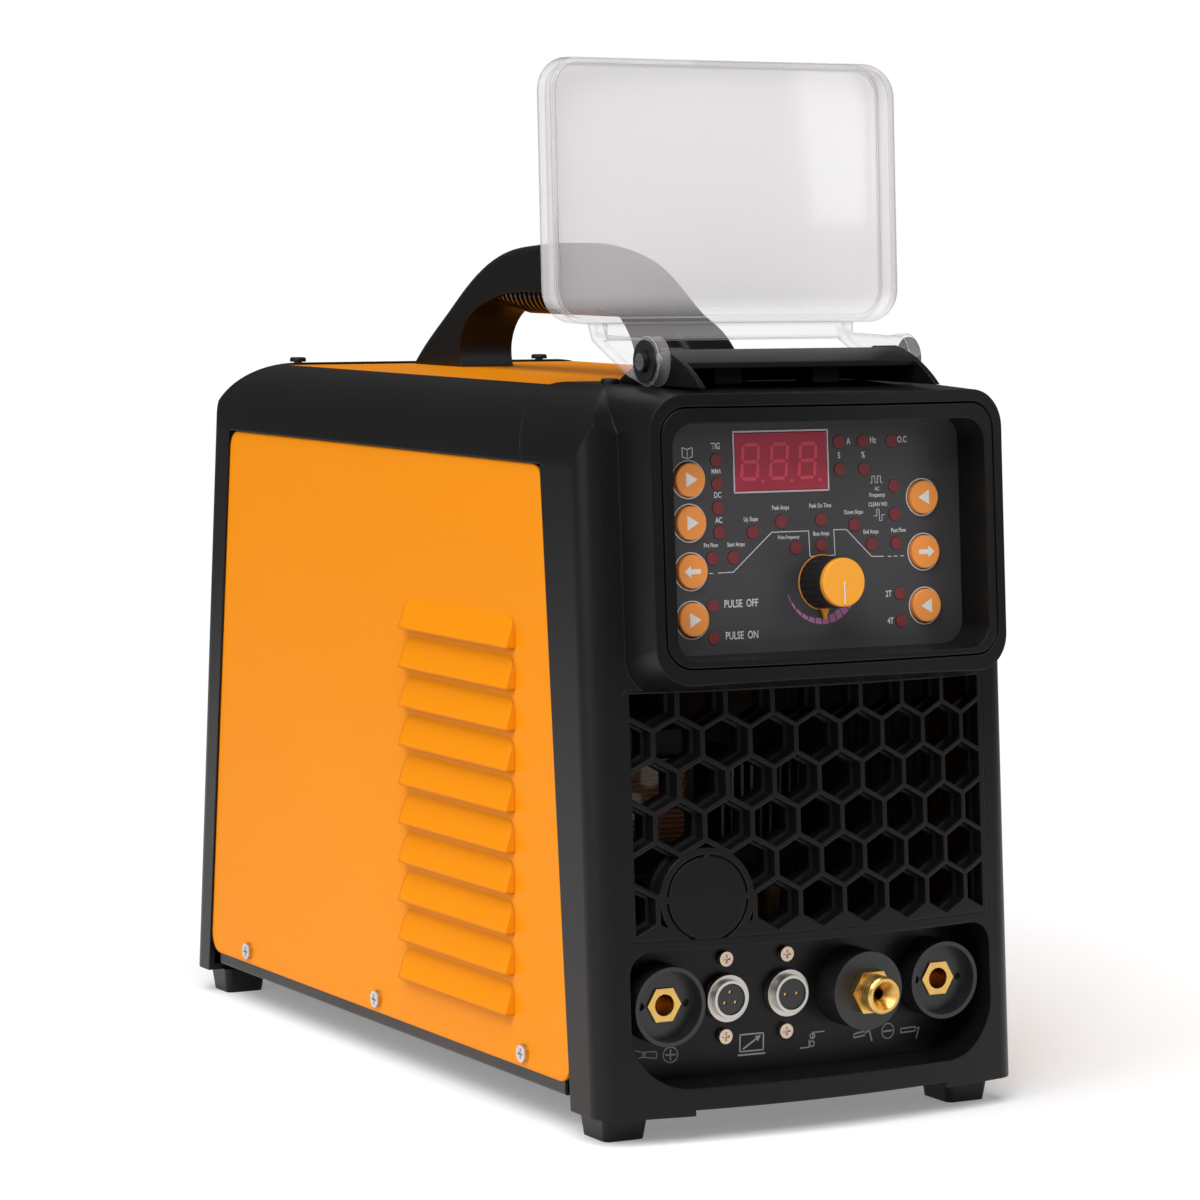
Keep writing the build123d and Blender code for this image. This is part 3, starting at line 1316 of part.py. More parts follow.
def make_fan():
    top_z = fan_z + fan_size / 2
    front = rear_wall_y(top_z) - part_gap - 1.0 - fan_depth
    back = front + fan_depth
    with BuildPart() as fan_frame:
        fill_box((-fan_size / 2, front, fan_z - fan_size / 2),
                 (fan_size / 2, back, fan_z + fan_size / 2))
        rod((0, front - 1, fan_z), fan_bore, fan_depth + 2, "y", Mode.SUBTRACT)
        for x in (-1, 1):
            for z in (-1, 1):
                rod((x * fan_screw_pitch / 2, front - 1, fan_z + z * fan_screw_pitch / 2),
                    screw_radius, fan_depth + 2, "y", Mode.SUBTRACT)
        fill_box((-fan_size, front + 5, 0), (fan_size, back - 5, fan_z - fan_size / 2 + 4),
                 Mode.SUBTRACT)
        fill_box((-fan_size, front + 5, fan_z + fan_size / 2 - 4), (fan_size, back - 5, 400),
                 Mode.SUBTRACT)
        rod((0, front, fan_z), fan_hub - 2, 6, "y")
        for turn in (0, 90, 180, 270):
            arm = Pos(0, front + 3, fan_z) * Rot(0, turn + 45, 0) * Pos(fan_bore / 2, 0, 0)
            with Locations(arm):
                Box(fan_bore + 4, 6, 4)
        rod((0, front - 1, fan_z), fan_pin + running_fit, 20, "y", Mode.SUBTRACT)
    save(fan_frame, "fan_frame")
    with BuildPart() as fan_rotor:
        rod((0, front + 7, fan_z), fan_hub, fan_depth - 10, "y")
        rod((0, front + 1, fan_z), fan_pin, 8, "y")
        for n in range(fan_blades):
            blade = (Pos(0, front + 7 + (fan_depth - 10) / 2, fan_z) *
                     Rot(0, n * 360 / fan_blades, 0) * Pos((fan_hub + fan_blade_tip) / 2, 0, 0) *
                     Rot(fan_blade_pitch, 0, 0))
            with Locations(blade):
                Box(fan_blade_tip - fan_hub + 6, 2.0, 28.0)
        rod((0, front, fan_z), fan_blade_tip, fan_depth, "y", Mode.INTERSECT)
    save(fan_rotor, "fan_rotor")


def make_fan_guard():
    low_z = fan_z - fan_size / 2
    face = rear_plane_y(0, low_z) + part_gap
    with BuildPart() as fan_guard:
        for radius in guard_rings:
            with Locations(Location((0, face + 3, fan_z), (90, 0, 0))):
                Torus(radius, guard_wire)
        for turn in (45, 135):
            spoke = Pos(0, face + 1.6, fan_z) * Rot(0, turn, 0) * Rot(0, 90, 0)
            with Locations(spoke):
                Cylinder(guard_wire, fan_screw_pitch * math.sqrt(2))
        for x in (-1, 1):
            for z in (-1, 1):
                place = (x * fan_screw_pitch / 2, face, fan_z + z * fan_screw_pitch / 2)
                rod(place, 5.0, 2.8, "y")
                rod((place[0], face - 1, place[2]), screw_radius, 10, "y", Mode.SUBTRACT)
    tilt = Axis((0, face, low_z), (1, 0, 0))
    lean = math.degrees(math.atan(rear_lean))
    fan_guard.part = fan_guard.part.rotate(tilt, lean)
    save(fan_guard, "fan_guard")


def make_rear_screws():
    with BuildPart() as rear_screws:
        for x in (-1, 1):
            for z in (-1, 1):
                height = fan_z + z * fan_screw_pitch / 2
                face = rear_plane_y(0, height) + guard_stand_off
                rod((x * fan_screw_pitch / 2, face, height), screw_head_radius, 2.2, "y")
                rod((x * fan_screw_pitch / 2, face - 30, height), screw_radius - 0.4, 30.5, "y")
    save(rear_screws, "rear_screws")


def make_rear_fittings():
    face = rear_plane_y(switch_x, rear_fitting_z)
    rocker_y = face + 3.0
    tilt = Axis((0, face, rear_fitting_z), (1, 0, 0))
    lean = math.degrees(math.atan(rear_lean))
    flange_y = face + part_gap + rear_bow_gap
    with BuildPart() as power_switch:
        fill_box((switch_x - switch_width / 2 - 2.5, flange_y,
                  rear_fitting_z - switch_height / 2 - 2.5),
                 (switch_x + switch_width / 2 + 2.5, flange_y + 3.0,
                  rear_fitting_z + switch_height / 2 + 2.5))
        fill_box((switch_x - switch_width / 2, face - 24, rear_fitting_z - switch_height / 2 + 1.6),
                 (switch_x + switch_width / 2, face + 1, rear_fitting_z + switch_height / 2 - 1.6))
        fill_box((switch_x - rocker_half_width - part_gap, face - 9,
                  rear_fitting_z - rocker_half_height - rocker_swing_room),
                 (switch_x + rocker_half_width + part_gap, face + 9,
                  rear_fitting_z + rocker_half_height + rocker_swing_room), Mode.SUBTRACT)
        rod((switch_x - rocker_half_width - 1.2, rocker_y - rocker_pivot_set, rear_fitting_z),
            1.2 + running_fit, 2 * rocker_half_width + 2.4, "x", Mode.SUBTRACT)
    power_switch.part = power_switch.part.rotate(tilt, lean)
    save(power_switch, "power_switch")
    with BuildPart() as power_rocker:
        with BuildSketch(Plane.YZ.offset(switch_x - rocker_half_width)):
            with BuildLine():
                Polyline((rocker_y + 2.4, rear_fitting_z - rocker_half_height),
                         (rocker_y + 0.4, rear_fitting_z),
                         (rocker_y + 2.4, rear_fitting_z + rocker_half_height),
                         (rocker_y - 1.5, rear_fitting_z + rocker_half_height),
                         (rocker_y - 8.0, rear_fitting_z + 3.5),
                         (rocker_y - 8.0, rear_fitting_z - 3.5),
                         (rocker_y - 1.5, rear_fitting_z - rocker_half_height), close=True)
            make_face()
        extrude(amount=2 * rocker_half_width)
        rod((switch_x - rocker_half_width - 1.0, rocker_y - rocker_pivot_set, rear_fitting_z),
            1.2, 2 * rocker_half_width + 2.0, "x")
    power_rocker.part = power_rocker.part.rotate(tilt, lean)
    save(power_rocker, "power_rocker")
    seat = rear_plane_y(abs(gland_x) - gland_hex, rear_fitting_z - 12) + part_gap
    with BuildPart() as mains_gland:
        with BuildSketch(Plane.XZ.offset(-seat)):
            with Locations((gland_x, rear_fitting_z)):
                RegularPolygon(gland_hex / 2, 6, major_radius=False)
        extrude(amount=-5.0)
        rod((gland_x, seat - 14, rear_fitting_z), gland_neck, 15, "y")
        rod((gland_x, seat + 4, rear_fitting_z), gland_hex / 2 - 0.6, gland_dome, "y")
        fillet([e for e in mains_gland.edges() if e.geom_type == GeomType.CIRCLE
                and e.center().Y > seat + gland_dome + 3.9], 5.0)
        rod((gland_x, seat - 20, rear_fitting_z), gland_bore, 60, "y", Mode.SUBTRACT)
    save(mains_gland, "mains_gland")
    inlet_seat = rear_plane_y(abs(gas_inlet_x) - 9, gas_inlet_z - 9) + part_gap
    with BuildPart() as gas_inlet:
        with BuildSketch(Plane.XZ.offset(-inlet_seat)):
            with Locations((gas_inlet_x, gas_inlet_z)):
                RegularPolygon(8.0, 6, major_radius=False)
        extrude(amount=-5.0)
        rod((gas_inlet_x, inlet_seat - 12, gas_inlet_z), gas_inlet_neck, 13, "y")
        for n in range(2):
            add(turned([(0.5, inlet_seat + 5 + 4.5 * n - 0.5), (gas_barb, inlet_seat + 5 + 4.5 * n - 0.5),
                        (gas_barb, inlet_seat + 6 + 4.5 * n), (gas_barb - 1, inlet_seat + 9.6 + 4.5 * n),
                        (0.5, inlet_seat + 9.6 + 4.5 * n)], gas_inlet_x, gas_inlet_z))
        rod((gas_inlet_x, inlet_seat - 20, gas_inlet_z), gas_bore_radius, 60, "y", Mode.SUBTRACT)
    save(gas_inlet, "gas_inlet")


# ------------------------------------------------------------------- inside the casing
def make_gas_line():
    seat = flat_seat(gas_x, gas_flange_radius)
    start = seat + 22
    valve_front = front_y + valve_setback
    with BuildPart() as gas_valve:
        fill_box((gas_x - 11, valve_front, port_z - 11), (gas_x + 11, valve_front + 34, port_z + 11))
        rod((gas_x, valve_front - 8, port_z), 4.5, 9, "y")
        rod((gas_x, valve_front + 33, port_z), 4.5, 9, "y")
        rod((gas_x, valve_front + 17, port_z + 10), 11, 26, "z")
        rod((gas_x, valve_front - 20, port_z), gas_bore_radius, 60, "y", Mode.SUBTRACT)
        rod((gas_x, valve_front + 17, port_z + 2.5), plunger_radius + running_fit, 26, "z",
            Mode.SUBTRACT)
    save(gas_valve, "gas_valve")
    with BuildPart() as valve_plunger:
        rod((gas_x, valve_front + 17, port_z + 3.0), plunger_radius, plunger_length, "z")
    save(valve_plunger, "valve_plunger")
    with BuildPart() as gas_hose:
        rod((gas_x, start + 1, port_z), 5.0, valve_front - 9 - start - 1, "y")
        rod((gas_x, start, port_z), 2.5, valve_front - start, "y", Mode.SUBTRACT)
        inlet_seat = rear_plane_y(abs(gas_inlet_x) - 9, gas_inlet_z - 9) + part_gap
        with BuildLine():
            Spline((gas_x, valve_front + 43, port_z), (gas_x - 40, valve_front + 170, 50),
                   (gas_inlet_x - 14, rear_y - 68, 90), (gas_inlet_x - 14, rear_y - 62, 160),
                   (gas_inlet_x, inlet_seat - 13, gas_inlet_z),
                   tangents=((0, 1, 0), (0, 1, 0)))
        with BuildSketch(Plane((gas_x, valve_front + 43, port_z), x_dir=(1, 0, 0),
                               z_dir=(0, 1, 0))):
            Circle(4.0)
            Circle(2.5, mode=Mode.SUBTRACT)
        sweep()
    save(gas_hose, "gas_hose")


def make_power_parts():
    front = front_y + board_front_setback
    floor = tray_bottom + sheet
    with BuildPart() as main_board:
        fill_box((-board_half_width, front, board_z), (board_half_width, front + board_length,
                                                       board_z + board_thickness))
        for x in (-1, 1):
            for y in (front + 10, front + board_length - 10):
                rod((x * (board_half_width - 7), y, floor), 3.0, board_z - floor + 0.1, "z")
    save(main_board, "main_board")
    base = board_z + board_thickness + part_gap
    with BuildPart() as heat_sinks:
        for x in (-1, 1):
            start = front + 12
            low, high = sorted((x * 36, x * 80))
            fill_box((low, start, base), (high, start + sink_length, base + 8))
            for n in range(sink_fins):
                fin = low + 1.2 + n * (high - low - 3.6) / (sink_fins - 1)
                fill_box((fin, start, base + 7), (fin + 1.4, start + sink_length, base + sink_height))
    save(heat_sinks, "heat_sinks")
    with BuildPart() as transformer:
        fill_box((-26, front + 18, base), (26, front + 74, base + 62))
        for x in (-1, 1):
            low, high = sorted((x * 8, x * 18))
            fill_box((low, front + 10, base + 12), (high, front + 80, base + 50), Mode.SUBTRACT)
    save(transformer, "transformer")
    with BuildPart() as transformer_coil:
        fill_box((-17.8, front + 12, base + 12.2), (17.8, front + 80, base + 49.8))
        fill_box((-8.2, front + 17.8, base), (8.2, front + 74.2, base + 80), Mode.SUBTRACT)
    save(transformer_coil, "transformer_coil")
    with BuildPart() as output_choke:
        with Locations(Location((0, front + 108, base + 32), (90, 0, 0))):
            Torus(20, 11.5)
    save(output_choke, "output_choke")
    with BuildPart() as capacitors:
        for x in (-1, 1):
            for y in (148, 182):
                rod((x * 16, front + y, base), 14.5, 48, "z")
    save(capacitors, "capacitors")


make_base_tray()
make_side_panels()
make_side_screws()
make_corner_rails()
make_top_panel()
make_front_cover()
make_front_grille()
make_control_bezel()
make_socket_panel()
make_weld_sockets()
make_control_sockets()
make_gas_outlet()
make_lid_bracket()
make_lid()
make_control_panel()
make_buttons()
make_knob()
make_handle()
make_handle_grip()
make_top_screws()
make_rear_cover()
make_fan()
make_fan_guard()
make_rear_screws()
make_rear_fittings()
make_gas_line()
make_power_parts()
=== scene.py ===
import math

import bmesh
import bpy
from mathutils import Matrix, Vector


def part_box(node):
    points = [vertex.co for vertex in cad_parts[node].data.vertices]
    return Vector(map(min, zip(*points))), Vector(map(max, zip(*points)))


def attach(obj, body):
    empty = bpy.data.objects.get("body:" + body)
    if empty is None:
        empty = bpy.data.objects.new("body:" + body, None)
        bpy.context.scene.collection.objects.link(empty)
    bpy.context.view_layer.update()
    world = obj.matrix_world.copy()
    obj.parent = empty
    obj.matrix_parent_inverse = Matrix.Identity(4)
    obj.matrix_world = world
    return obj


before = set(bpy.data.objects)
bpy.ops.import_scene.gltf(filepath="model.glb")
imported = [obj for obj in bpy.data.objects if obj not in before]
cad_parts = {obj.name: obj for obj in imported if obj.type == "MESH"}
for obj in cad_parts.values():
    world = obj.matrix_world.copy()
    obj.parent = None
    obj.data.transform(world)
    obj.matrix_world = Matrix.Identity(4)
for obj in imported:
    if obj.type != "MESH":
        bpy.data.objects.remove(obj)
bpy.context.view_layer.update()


# ---------------------------------------------------------------- moulded black covers
# The front and rear covers, hood, corner rails, bezel, socket panel, hinge bracket and handle
# are injection-moulded ABS with a fine spark-eroded grain.  Their edges are slightly rounded
# by the mould and a little glossier.  Every rounded edge and crease is also painted paler, a
# painted highlight, over paler patches that vary at random.
class Shade:
    """A shader socket that can be used in Python expressions."""

    def __init__(self, tree, socket):
        self.tree = tree
        self.socket = socket

    def node(self, kind, settings=None, inputs=None, output=0):
        """Adds a node; `inputs` maps socket names or numbers to values or other Shades."""
        made = self.tree.nodes.new("ShaderNode" + kind)
        for key, value in (settings or {}).items():
            if key == "stops":
                ramp = made.color_ramp
                while len(ramp.elements) < len(value):
                    ramp.elements.new(0.5)
                for element, (place, colour) in zip(ramp.elements, value):
                    element.position = place
                    element.color = (*colour, 1.0)
            else:
                setattr(made, key, value)
        for key, value in (inputs or {}).items():
            if isinstance(value, Shade):
                self.tree.links.new(value.socket, made.inputs[key])
            else:
                made.inputs[key].default_value = value
        return Shade(self.tree, made.outputs[output])

    def maths(self, operation, one, two=None, clamp=False):
        values = {0: one} if two is None else {0: one, 1: two}
        return self.node("Math", {"operation": operation, "use_clamp": clamp}, values)

    def __add__(self, other):
        return self.maths("ADD", self, other)

    def __radd__(self, other):
        return self.maths("ADD", other, self)

    def __sub__(self, other):
        return self.maths("SUBTRACT", self, other)

    def __rsub__(self, other):
        return self.maths("SUBTRACT", other, self)

    def __mul__(self, other):
        return self.maths("MULTIPLY", self, other)

    def __rmul__(self, other):
        return self.maths("MULTIPLY", other, self)

    def between(self, low, high):
        """0 below `low`, 1 above `high`."""
        return self.node("MapRange", {"interpolation_type": "SMOOTHSTEP"},
                         {0: self, 1: low, 2: high, 3: 0.0, 4: 1.0})

    def blend(self, other, share):
        """This colour turning into another one as `share` goes from 0 to 1."""
        return self.node("Mix", {"data_type": "RGBA"}, {0: share, 6: self, 7: other}, output=2)

    def colour(self, value):
        return self.node("RGB").set_colour(value)

    def set_colour(self, value):
        self.socket.default_value = (*value, 1.0)
        return self

    def noise(self, scale, detail=2.0, rough=0.5, stretch=None):
        """Noise in the object's own metres; `stretch` scales it along X, Y and Z."""
        place = self.node("TexCoord", output=3)
        if stretch:
            place = self.node("Mapping", {}, {0: place, 3: stretch})
        return self.node("TexNoise", {}, {"Vector": place, "Scale": scale, "Detail": detail,
                                          "Roughness": rough})

    def rounded(self, radius):
        """The normal with edges rounded to `radius`, and a mask that is 1 on those edges."""
        soft = self.node("Bevel", {"samples": 4}, {"Radius": radius})
        flat = self.node("NewGeometry", output=1)
        same = self.node("VectorMath", {"operation": "DOT_PRODUCT"}, {0: soft, 1: flat}, 1)
        return soft, (1.0 - same).between(0.01, 0.14)

    def bump(self, height, distance, strength=1.0, under=None):
        inputs = {"Strength": strength, "Distance": distance, "Height": height}
        if under is not None:
            inputs["Normal"] = under
        return self.node("Bump", {}, inputs)


def finish(name, fixed, make):
    """A material: `fixed` sets the shader's own sockets, `make` returns what varies."""
    material = bpy.data.materials.new(name)
    material.use_nodes = True
    tree = material.node_tree
    shader = tree.nodes["Principled BSDF"]
    for key, value in fixed.items():
        shader.inputs[key].default_value = value
    pen = Shade(tree, None)
    for key, value in make(pen).items():
        tree.links.new(value.socket, shader.inputs[key])
    return material


def wear(material, *nodes):
    """Gives CAD pieces a material."""
    for node in nodes:
        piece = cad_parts[node]
        piece.data.materials.clear()
        piece.data.materials.append(material)


def moulded(base, grain, gloss):
    def make(pen):
        soft, edge = pen.rounded(0.0009)
        cloud = pen.noise(9.0, 3.0)
        speck = pen.noise(grain, 2.0, 0.6)
        dark = pen.colour(base)
        pale = pen.colour(tuple(min(1.0, 1.5 * c + 0.004) for c in base))
        # Rounded edges and creases are painted paler here: a painted highlight.
        return {"Base Color": dark.blend(pale, cloud * 0.5 + edge * 0.5),
                "Roughness": gloss + cloud * 0.08 + speck * 0.06 - edge * 0.05,
                "Normal": pen.bump(speck, 0.00006, 0.55, soft)}
    return make


cover_black = finish("cover_black", {"Specular IOR Level": 0.22},
                     moulded((0.0042, 0.0041, 0.0042), 2600.0, 0.26))
wear(cover_black, "front_cover", "front_grille", "rear_cover", "corner_rail_left",
     "corner_rail_right", "control_bezel", "socket_panel", "lid_bracket", "handle")


# ------------------------------------------------------------- orange sheet-steel panels
# The two louvred sides and the top are pressed 1.2 mm steel with a satin amber powder coat.
# The coat has a faint orange-peel ripple.  Its rounded edges and creases are painted darker,
# a painted shade, and the side panels' inner faces are painted dark brown, a painted shade.
def powder_coat(pen):
    peel = pen.noise(520.0, 2.0, 0.55)
    cloud = pen.noise(4.0, 3.0)
    soft, edge = pen.rounded(0.0018)
    # Rounded edges and creases turn darker orange: a painted shade.
    painted_edge_shade = pen.colour((0.72, 0.205, 0.003))
    coat = pen.colour((0.84, 0.272, 0.002)).blend(pen.colour((0.79, 0.245, 0.002)), cloud)
    # Faces turned into the casing are painted dark brown: a painted shade where little light
    # reaches.
    outward = pen.node("SeparateXYZ", {}, {0: pen.node("NewGeometry", output=1)})
    across = pen.node("SeparateXYZ", {}, {0: pen.node("TexCoord", output=3)})
    inside = (outward * across).between(0.0, -0.02)
    painted_inside_shade = pen.colour((0.16, 0.038, 0.004))
    return {"Base Color": coat.blend(painted_edge_shade, edge).blend(painted_inside_shade, inside),
            "Roughness": 0.40 + peel * 0.10 + cloud * 0.05,
            "Normal": pen.bump(peel, 0.00003, 0.35, soft)}


amber = finish("amber_powder_coat", {"Specular IOR Level": 0.10}, powder_coat)
wear(amber, "side_panel_left", "side_panel_right", "top_panel")


# ------------------------------------------------------------ floor pan and its fasteners
# A folded steel tray painted satin black, held by bright zinc cross-head screws; the covers
# are held from above by blackened button-head screws.
def satin_paint(pen):
    cloud = pen.noise(30.0, 4.0)
    return {"Base Color": pen.colour((0.012, 0.012, 0.012)).blend(
                pen.colour((0.022, 0.022, 0.021)), cloud),
            "Roughness": 0.4 + cloud * 0.2,
            "Normal": pen.bump(pen.noise(900.0), 0.00002, 0.4)}


def plated(base, tint, gloss):
    """Bright plating: fine turning marks, and a slow drift of tint."""
    def make(pen):
        turned = pen.noise(1400.0, 2.0, 0.6, (1.0, 0.15, 1.0))
        drift = pen.noise(120.0, 2.0)
        return {"Base Color": pen.colour(base).blend(pen.colour(tint), drift),
                "Roughness": gloss + turned * 0.14,
                "Normal": pen.bump(turned, 0.00002, 0.25,
                                   pen.node("Bevel", {"samples": 3}, {"Radius": 0.00025}))}
    return make


tray_paint = finish("tray_paint", {}, satin_paint)
black_screw = finish("blackened_screw", {"Metallic": 0.6}, satin_paint)
bright_zinc = finish("bright_zinc", {"Metallic": 1.0},
                     plated((0.62, 0.62, 0.63), (0.48, 0.49, 0.52), 0.16))
wear(tray_paint, "base_tray")
wear(black_screw, "cover_screws")
wear(bright_zinc, "side_screws", "handle_screws", "rear_screws", "fan_guard",
     "valve_plunger", "encoder")


# ---------------------------------------------------------------------------- clear lid
# A moulded clear polycarbonate tray on two arms, pinned to the hinge bracket.  Its face is
# pale, and its top face paler and more opaque: partly haze, partly a painted reflection of the
# bright surround.  Its walls turn grey where seen edge-on, a painted reflection, and its rim,
# corners and edges carry painted white highlight lines beside painted dark shadow lines.
def clear_plastic(pen):
    facing = pen.node("LayerWeight", {}, {"Blend": 0.35}, output=1)
    soft, edge_highlight = pen.rounded(0.0007)
    near = pen.rounded(0.0030)[1]
    height = pen.node("SeparateXYZ", {}, {0: pen.node("TexCoord", output=3)}, 2)
    # The top face is made more opaque: haze together with a painted reflection of the surround.
    haze_and_reflection = height.between(0.338, 0.350)
    # Walls seen edge-on are painted grey: a painted reflection.
    wall = facing.between(0.35, 1.0)
    # The white edges are a painted highlight; the dark band beside them is a painted shadow.
    shadow = near - near * edge_highlight
    return {"Base Color": pen.colour((0.92, 0.89, 0.91)).blend(
                pen.colour((0.55, 0.54, 0.56)), wall).blend(
                pen.colour((0.22, 0.21, 0.23)), shadow).blend(
                pen.colour((1.0, 1.0, 1.0)), edge_highlight),
            "Alpha": 0.15 + haze_and_reflection * 0.33 + wall * 0.06 + edge_highlight * 0.50 + shadow * 0.18,
            "Roughness": 0.04 + pen.noise(7.0, 2.0) * 0.03,
            "Normal": soft}


HINGE_AXIS = (0.0, -0.167, 0.3223)
SCREW_HEAD_EDGE = (0.0034, 0.0037)


def hinge_cap(pen):
    """Black washers with a bright screw head at the hinge's axis."""
    place = pen.node("TexCoord", output=3)
    offset = pen.node("VectorMath", {"operation": "SUBTRACT"}, {0: place, 1: HINGE_AXIS})
    flat = pen.node("VectorMath", {"operation": "MULTIPLY"}, {0: offset, 1: (0.0, 1.0, 1.0)})
    far = pen.node("VectorMath", {"operation": "LENGTH"}, {0: flat}, 1)
    washer = far.between(*SCREW_HEAD_EDGE)
    return {"Base Color": pen.colour((0.45, 0.45, 0.47)).blend(
                pen.colour((0.012, 0.012, 0.012)), washer),
            "Metallic": 1.0 - washer,
            "Roughness": 0.22 + pen.noise(900.0) * 0.15}


wear(finish("hinge_cap", {}, hinge_cap), "lid_pivots")
clear = finish("clear_polycarbonate", {"Specular IOR Level": 0.8, "Coat Weight": 0.6,
                                       "Coat Roughness": 0.03}, clear_plastic)
wear(clear, "lid")


# ----------------------------------------------------------------------- control panel
# A steel plate faced with printed film: a dark grey ground, white legends, a pulse diagram
# and a pink scale round the knob.  The print stands a few hundredths proud of the film.
PANEL_Y = -0.1915
PANEL_LEAN = 0.070
PANEL_MIDDLE = 0.250
INK = 0.00006


def film(pen):
    cloud = pen.noise(25.0, 3.0)
    weave = pen.noise(1800.0, 2.0)
    return {"Base Color": pen.colour((0.036, 0.034, 0.037)).blend(
                pen.colour((0.050, 0.047, 0.051)), cloud),
            "Roughness": 0.36 + weave * 0.12,
            "Normal": pen.bump(weave, 0.00001, 0.4)}


def ink(shade, tired):
    def make(pen):
        return {"Base Color": pen.colour(shade).blend(pen.colour(tired), pen.noise(300.0, 3.0)),
                "Roughness": 0.42 + pen.noise(900.0) * 0.15}
    return make


panel_film = finish("panel_film", {}, film)
white_ink = finish("white_ink", {}, ink((0.66, 0.65, 0.66), (0.54, 0.53, 0.54)))
pink_ink = finish("pink_ink", {}, ink((0.50, 0.17, 0.40), (0.40, 0.13, 0.32)))
wear(panel_film, "control_panel")

panel_up = Vector((0.0, PANEL_LEAN, 1.0)).normalized()
panel_out = Vector((0.0, -1.0, PANEL_LEAN)).normalized()


def panel_matrix(x, z, out=0.0):
    """Where a mark at (x, z) mm on the panel sits: X right, Y up the panel, Z out of it."""
    x, z = x / 1000, z / 1000
    place = Vector((x, PANEL_Y + PANEL_LEAN * (z - PANEL_MIDDLE), z)) + panel_out * out
    turn = Matrix((Vector((1, 0, 0)), panel_up, panel_out)).transposed()
    return Matrix.Translation(place) @ turn.to_4x4()


def new_piece(name, mesh, material, body="casing", slot="panel_film"):
    piece = bpy.data.objects.new(name, mesh)
    bpy.context.scene.collection.objects.link(piece)
    mesh.materials.clear()
    mesh.materials.append(material)
    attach(piece, body)
    return piece


def flat_shapes(name, shapes, where, material, thick=INK, **rest):
    """Flat marks: each shape is (x, z, outline), its outline a list of (u, v) mm about x, z."""
    work = bmesh.new()
    for x, z, outline in shapes:
        turn = where(x, z)
        base = [work.verts.new(turn @ Vector((u / 1000, v / 1000, 0.0))) for u, v in outline]
        top = [work.verts.new(turn @ Vector((u / 1000, v / 1000, thick))) for u, v in outline]
        count = len(outline)
        work.faces.new(top)
        work.faces.new(base[::-1])
        for n in range(count):
            work.faces.new((base[n], base[(n + 1) % count], top[(n + 1) % count], top[n]))
    bmesh.ops.recalc_face_normals(work, faces=work.faces)
    mesh = bpy.data.meshes.new(name)
    work.to_mesh(mesh)
    work.free()
    return new_piece(name, mesh, material, **rest)


def bar(x0, z0, x1, z1, width):
    """A straight printed line between two points, as a shape for flat_shapes."""
    along = Vector((x1 - x0, z1 - z0))
    along.normalize()
    side = Vector((-along.y, along.x)) * width / 2
    grow = along * width / 2
    ends = (Vector((x0, z0)) - grow, Vector((x1, z1)) + grow)
    middle = (ends[0] + ends[1]) / 2
    corners = (ends[0] - side, ends[1] - side, ends[1] + side, ends[0] + side)
    return (middle.x, middle.y, [tuple(corner - middle) for corner in corners])


def line(points, width):
    return [bar(*a, *b, width) for a, b in zip(points, points[1:])]


def arc_segment(radius_in, radius_out, start, end, steps=10):
    """A piece of a ring as an outline about its centre; angles in degrees, 0 to the right."""
    angles = [math.radians(start + (end - start) * n / steps) for n in range(steps + 1)]
    outer = [(radius_out * math.cos(a), radius_out * math.sin(a)) for a in angles]
    inner = [(radius_in * math.cos(a), radius_in * math.sin(a)) for a in reversed(angles)]
    return outer + inner


def ring(x, z, radius_in, radius_out, parts=4):
    step = 360 / parts
    return [(x, z, arc_segment(radius_in, radius_out, n * step, (n + 1) * step, 12))
            for n in range(parts)]


def legends(name, words, where, material, **rest):
    """Printed words: (x, z, capital height in mm, text), centred, as one mesh."""
    whole = bmesh.new()
    for x, z, height, text in words:
        curve = bpy.data.curves.new("word", "FONT")
        curve.body = text
        curve.align_x = "CENTER"
        curve.align_y = "CENTER"
        curve.size = height / 1000 / 0.69
        curve.resolution_u = 3
        curve.offset = 0.016 * curve.size
        word = bpy.data.objects.new("word", curve)
        mesh = bpy.data.meshes.new_from_object(word)
        squeeze = Matrix.Diagonal((0.74, 1.0, 1.0, 1.0))
        mesh.transform(where(x, z) @ Matrix.Translation((0, 0, INK)) @ squeeze)
        whole.from_mesh(mesh)
        bpy.data.meshes.remove(mesh)
        bpy.data.objects.remove(word)
        bpy.data.curves.remove(curve)
    mesh = bpy.data.meshes.new(name)
    whole.to_mesh(mesh)
    whole.free()
    return new_piece(name, mesh, material, **rest)


small, middling, large = 1.75, 2.6, 3.1
legends("panel_legends", [
    (-43.8, 287.6, middling, "TIG"), (-43.8, 277.2, 2.0, "MMA"), (-43.4, 267.4, 2.3, "DC"),
    (-43.2, 257.0, 2.3, "AC"), (-47.4, 246.8, small, "Pre Flow"),
    (-35.3, 246.8, small, "Start Amps"), (-27.8, 257.0, small, "Up Slope"),
    (-13.2, 261.4, small, "Peak Amps"), (6.3, 261.7, small, "Peak On Time"),
    (-9.6, 249.0, 1.5, "Pulse Frequency"), (6.4, 250.0, 1.7, "Base Amps"),
    (22.8, 258.5, small, "Down Slope"), (31.2, 250.0, small, "End Amps"),
    (45.0, 250.2, small, "Post Flow"), (34.8, 268.0, 1.6, "AC"),
    (34.8, 265.4, small, "Frequency"), (35.0, 261.4, 1.7, "CLEAN WD"),
    (39.2, 223.4, middling, "2T"), (39.8, 211.9, middling, "4T"),
    (-33.6, 222.2, large, "PULSE  OFF"), (-33.6, 209.0, large, "PULSE  ON"),
    (21.2, 288.3, middling, "A"), (33.4, 288.5, middling, "Hz"), (48.0, 288.5, middling, "O.C"),
    (16.3, 282.4, middling, "S"), (28.3, 282.4, middling, "%")], panel_matrix, white_ink)

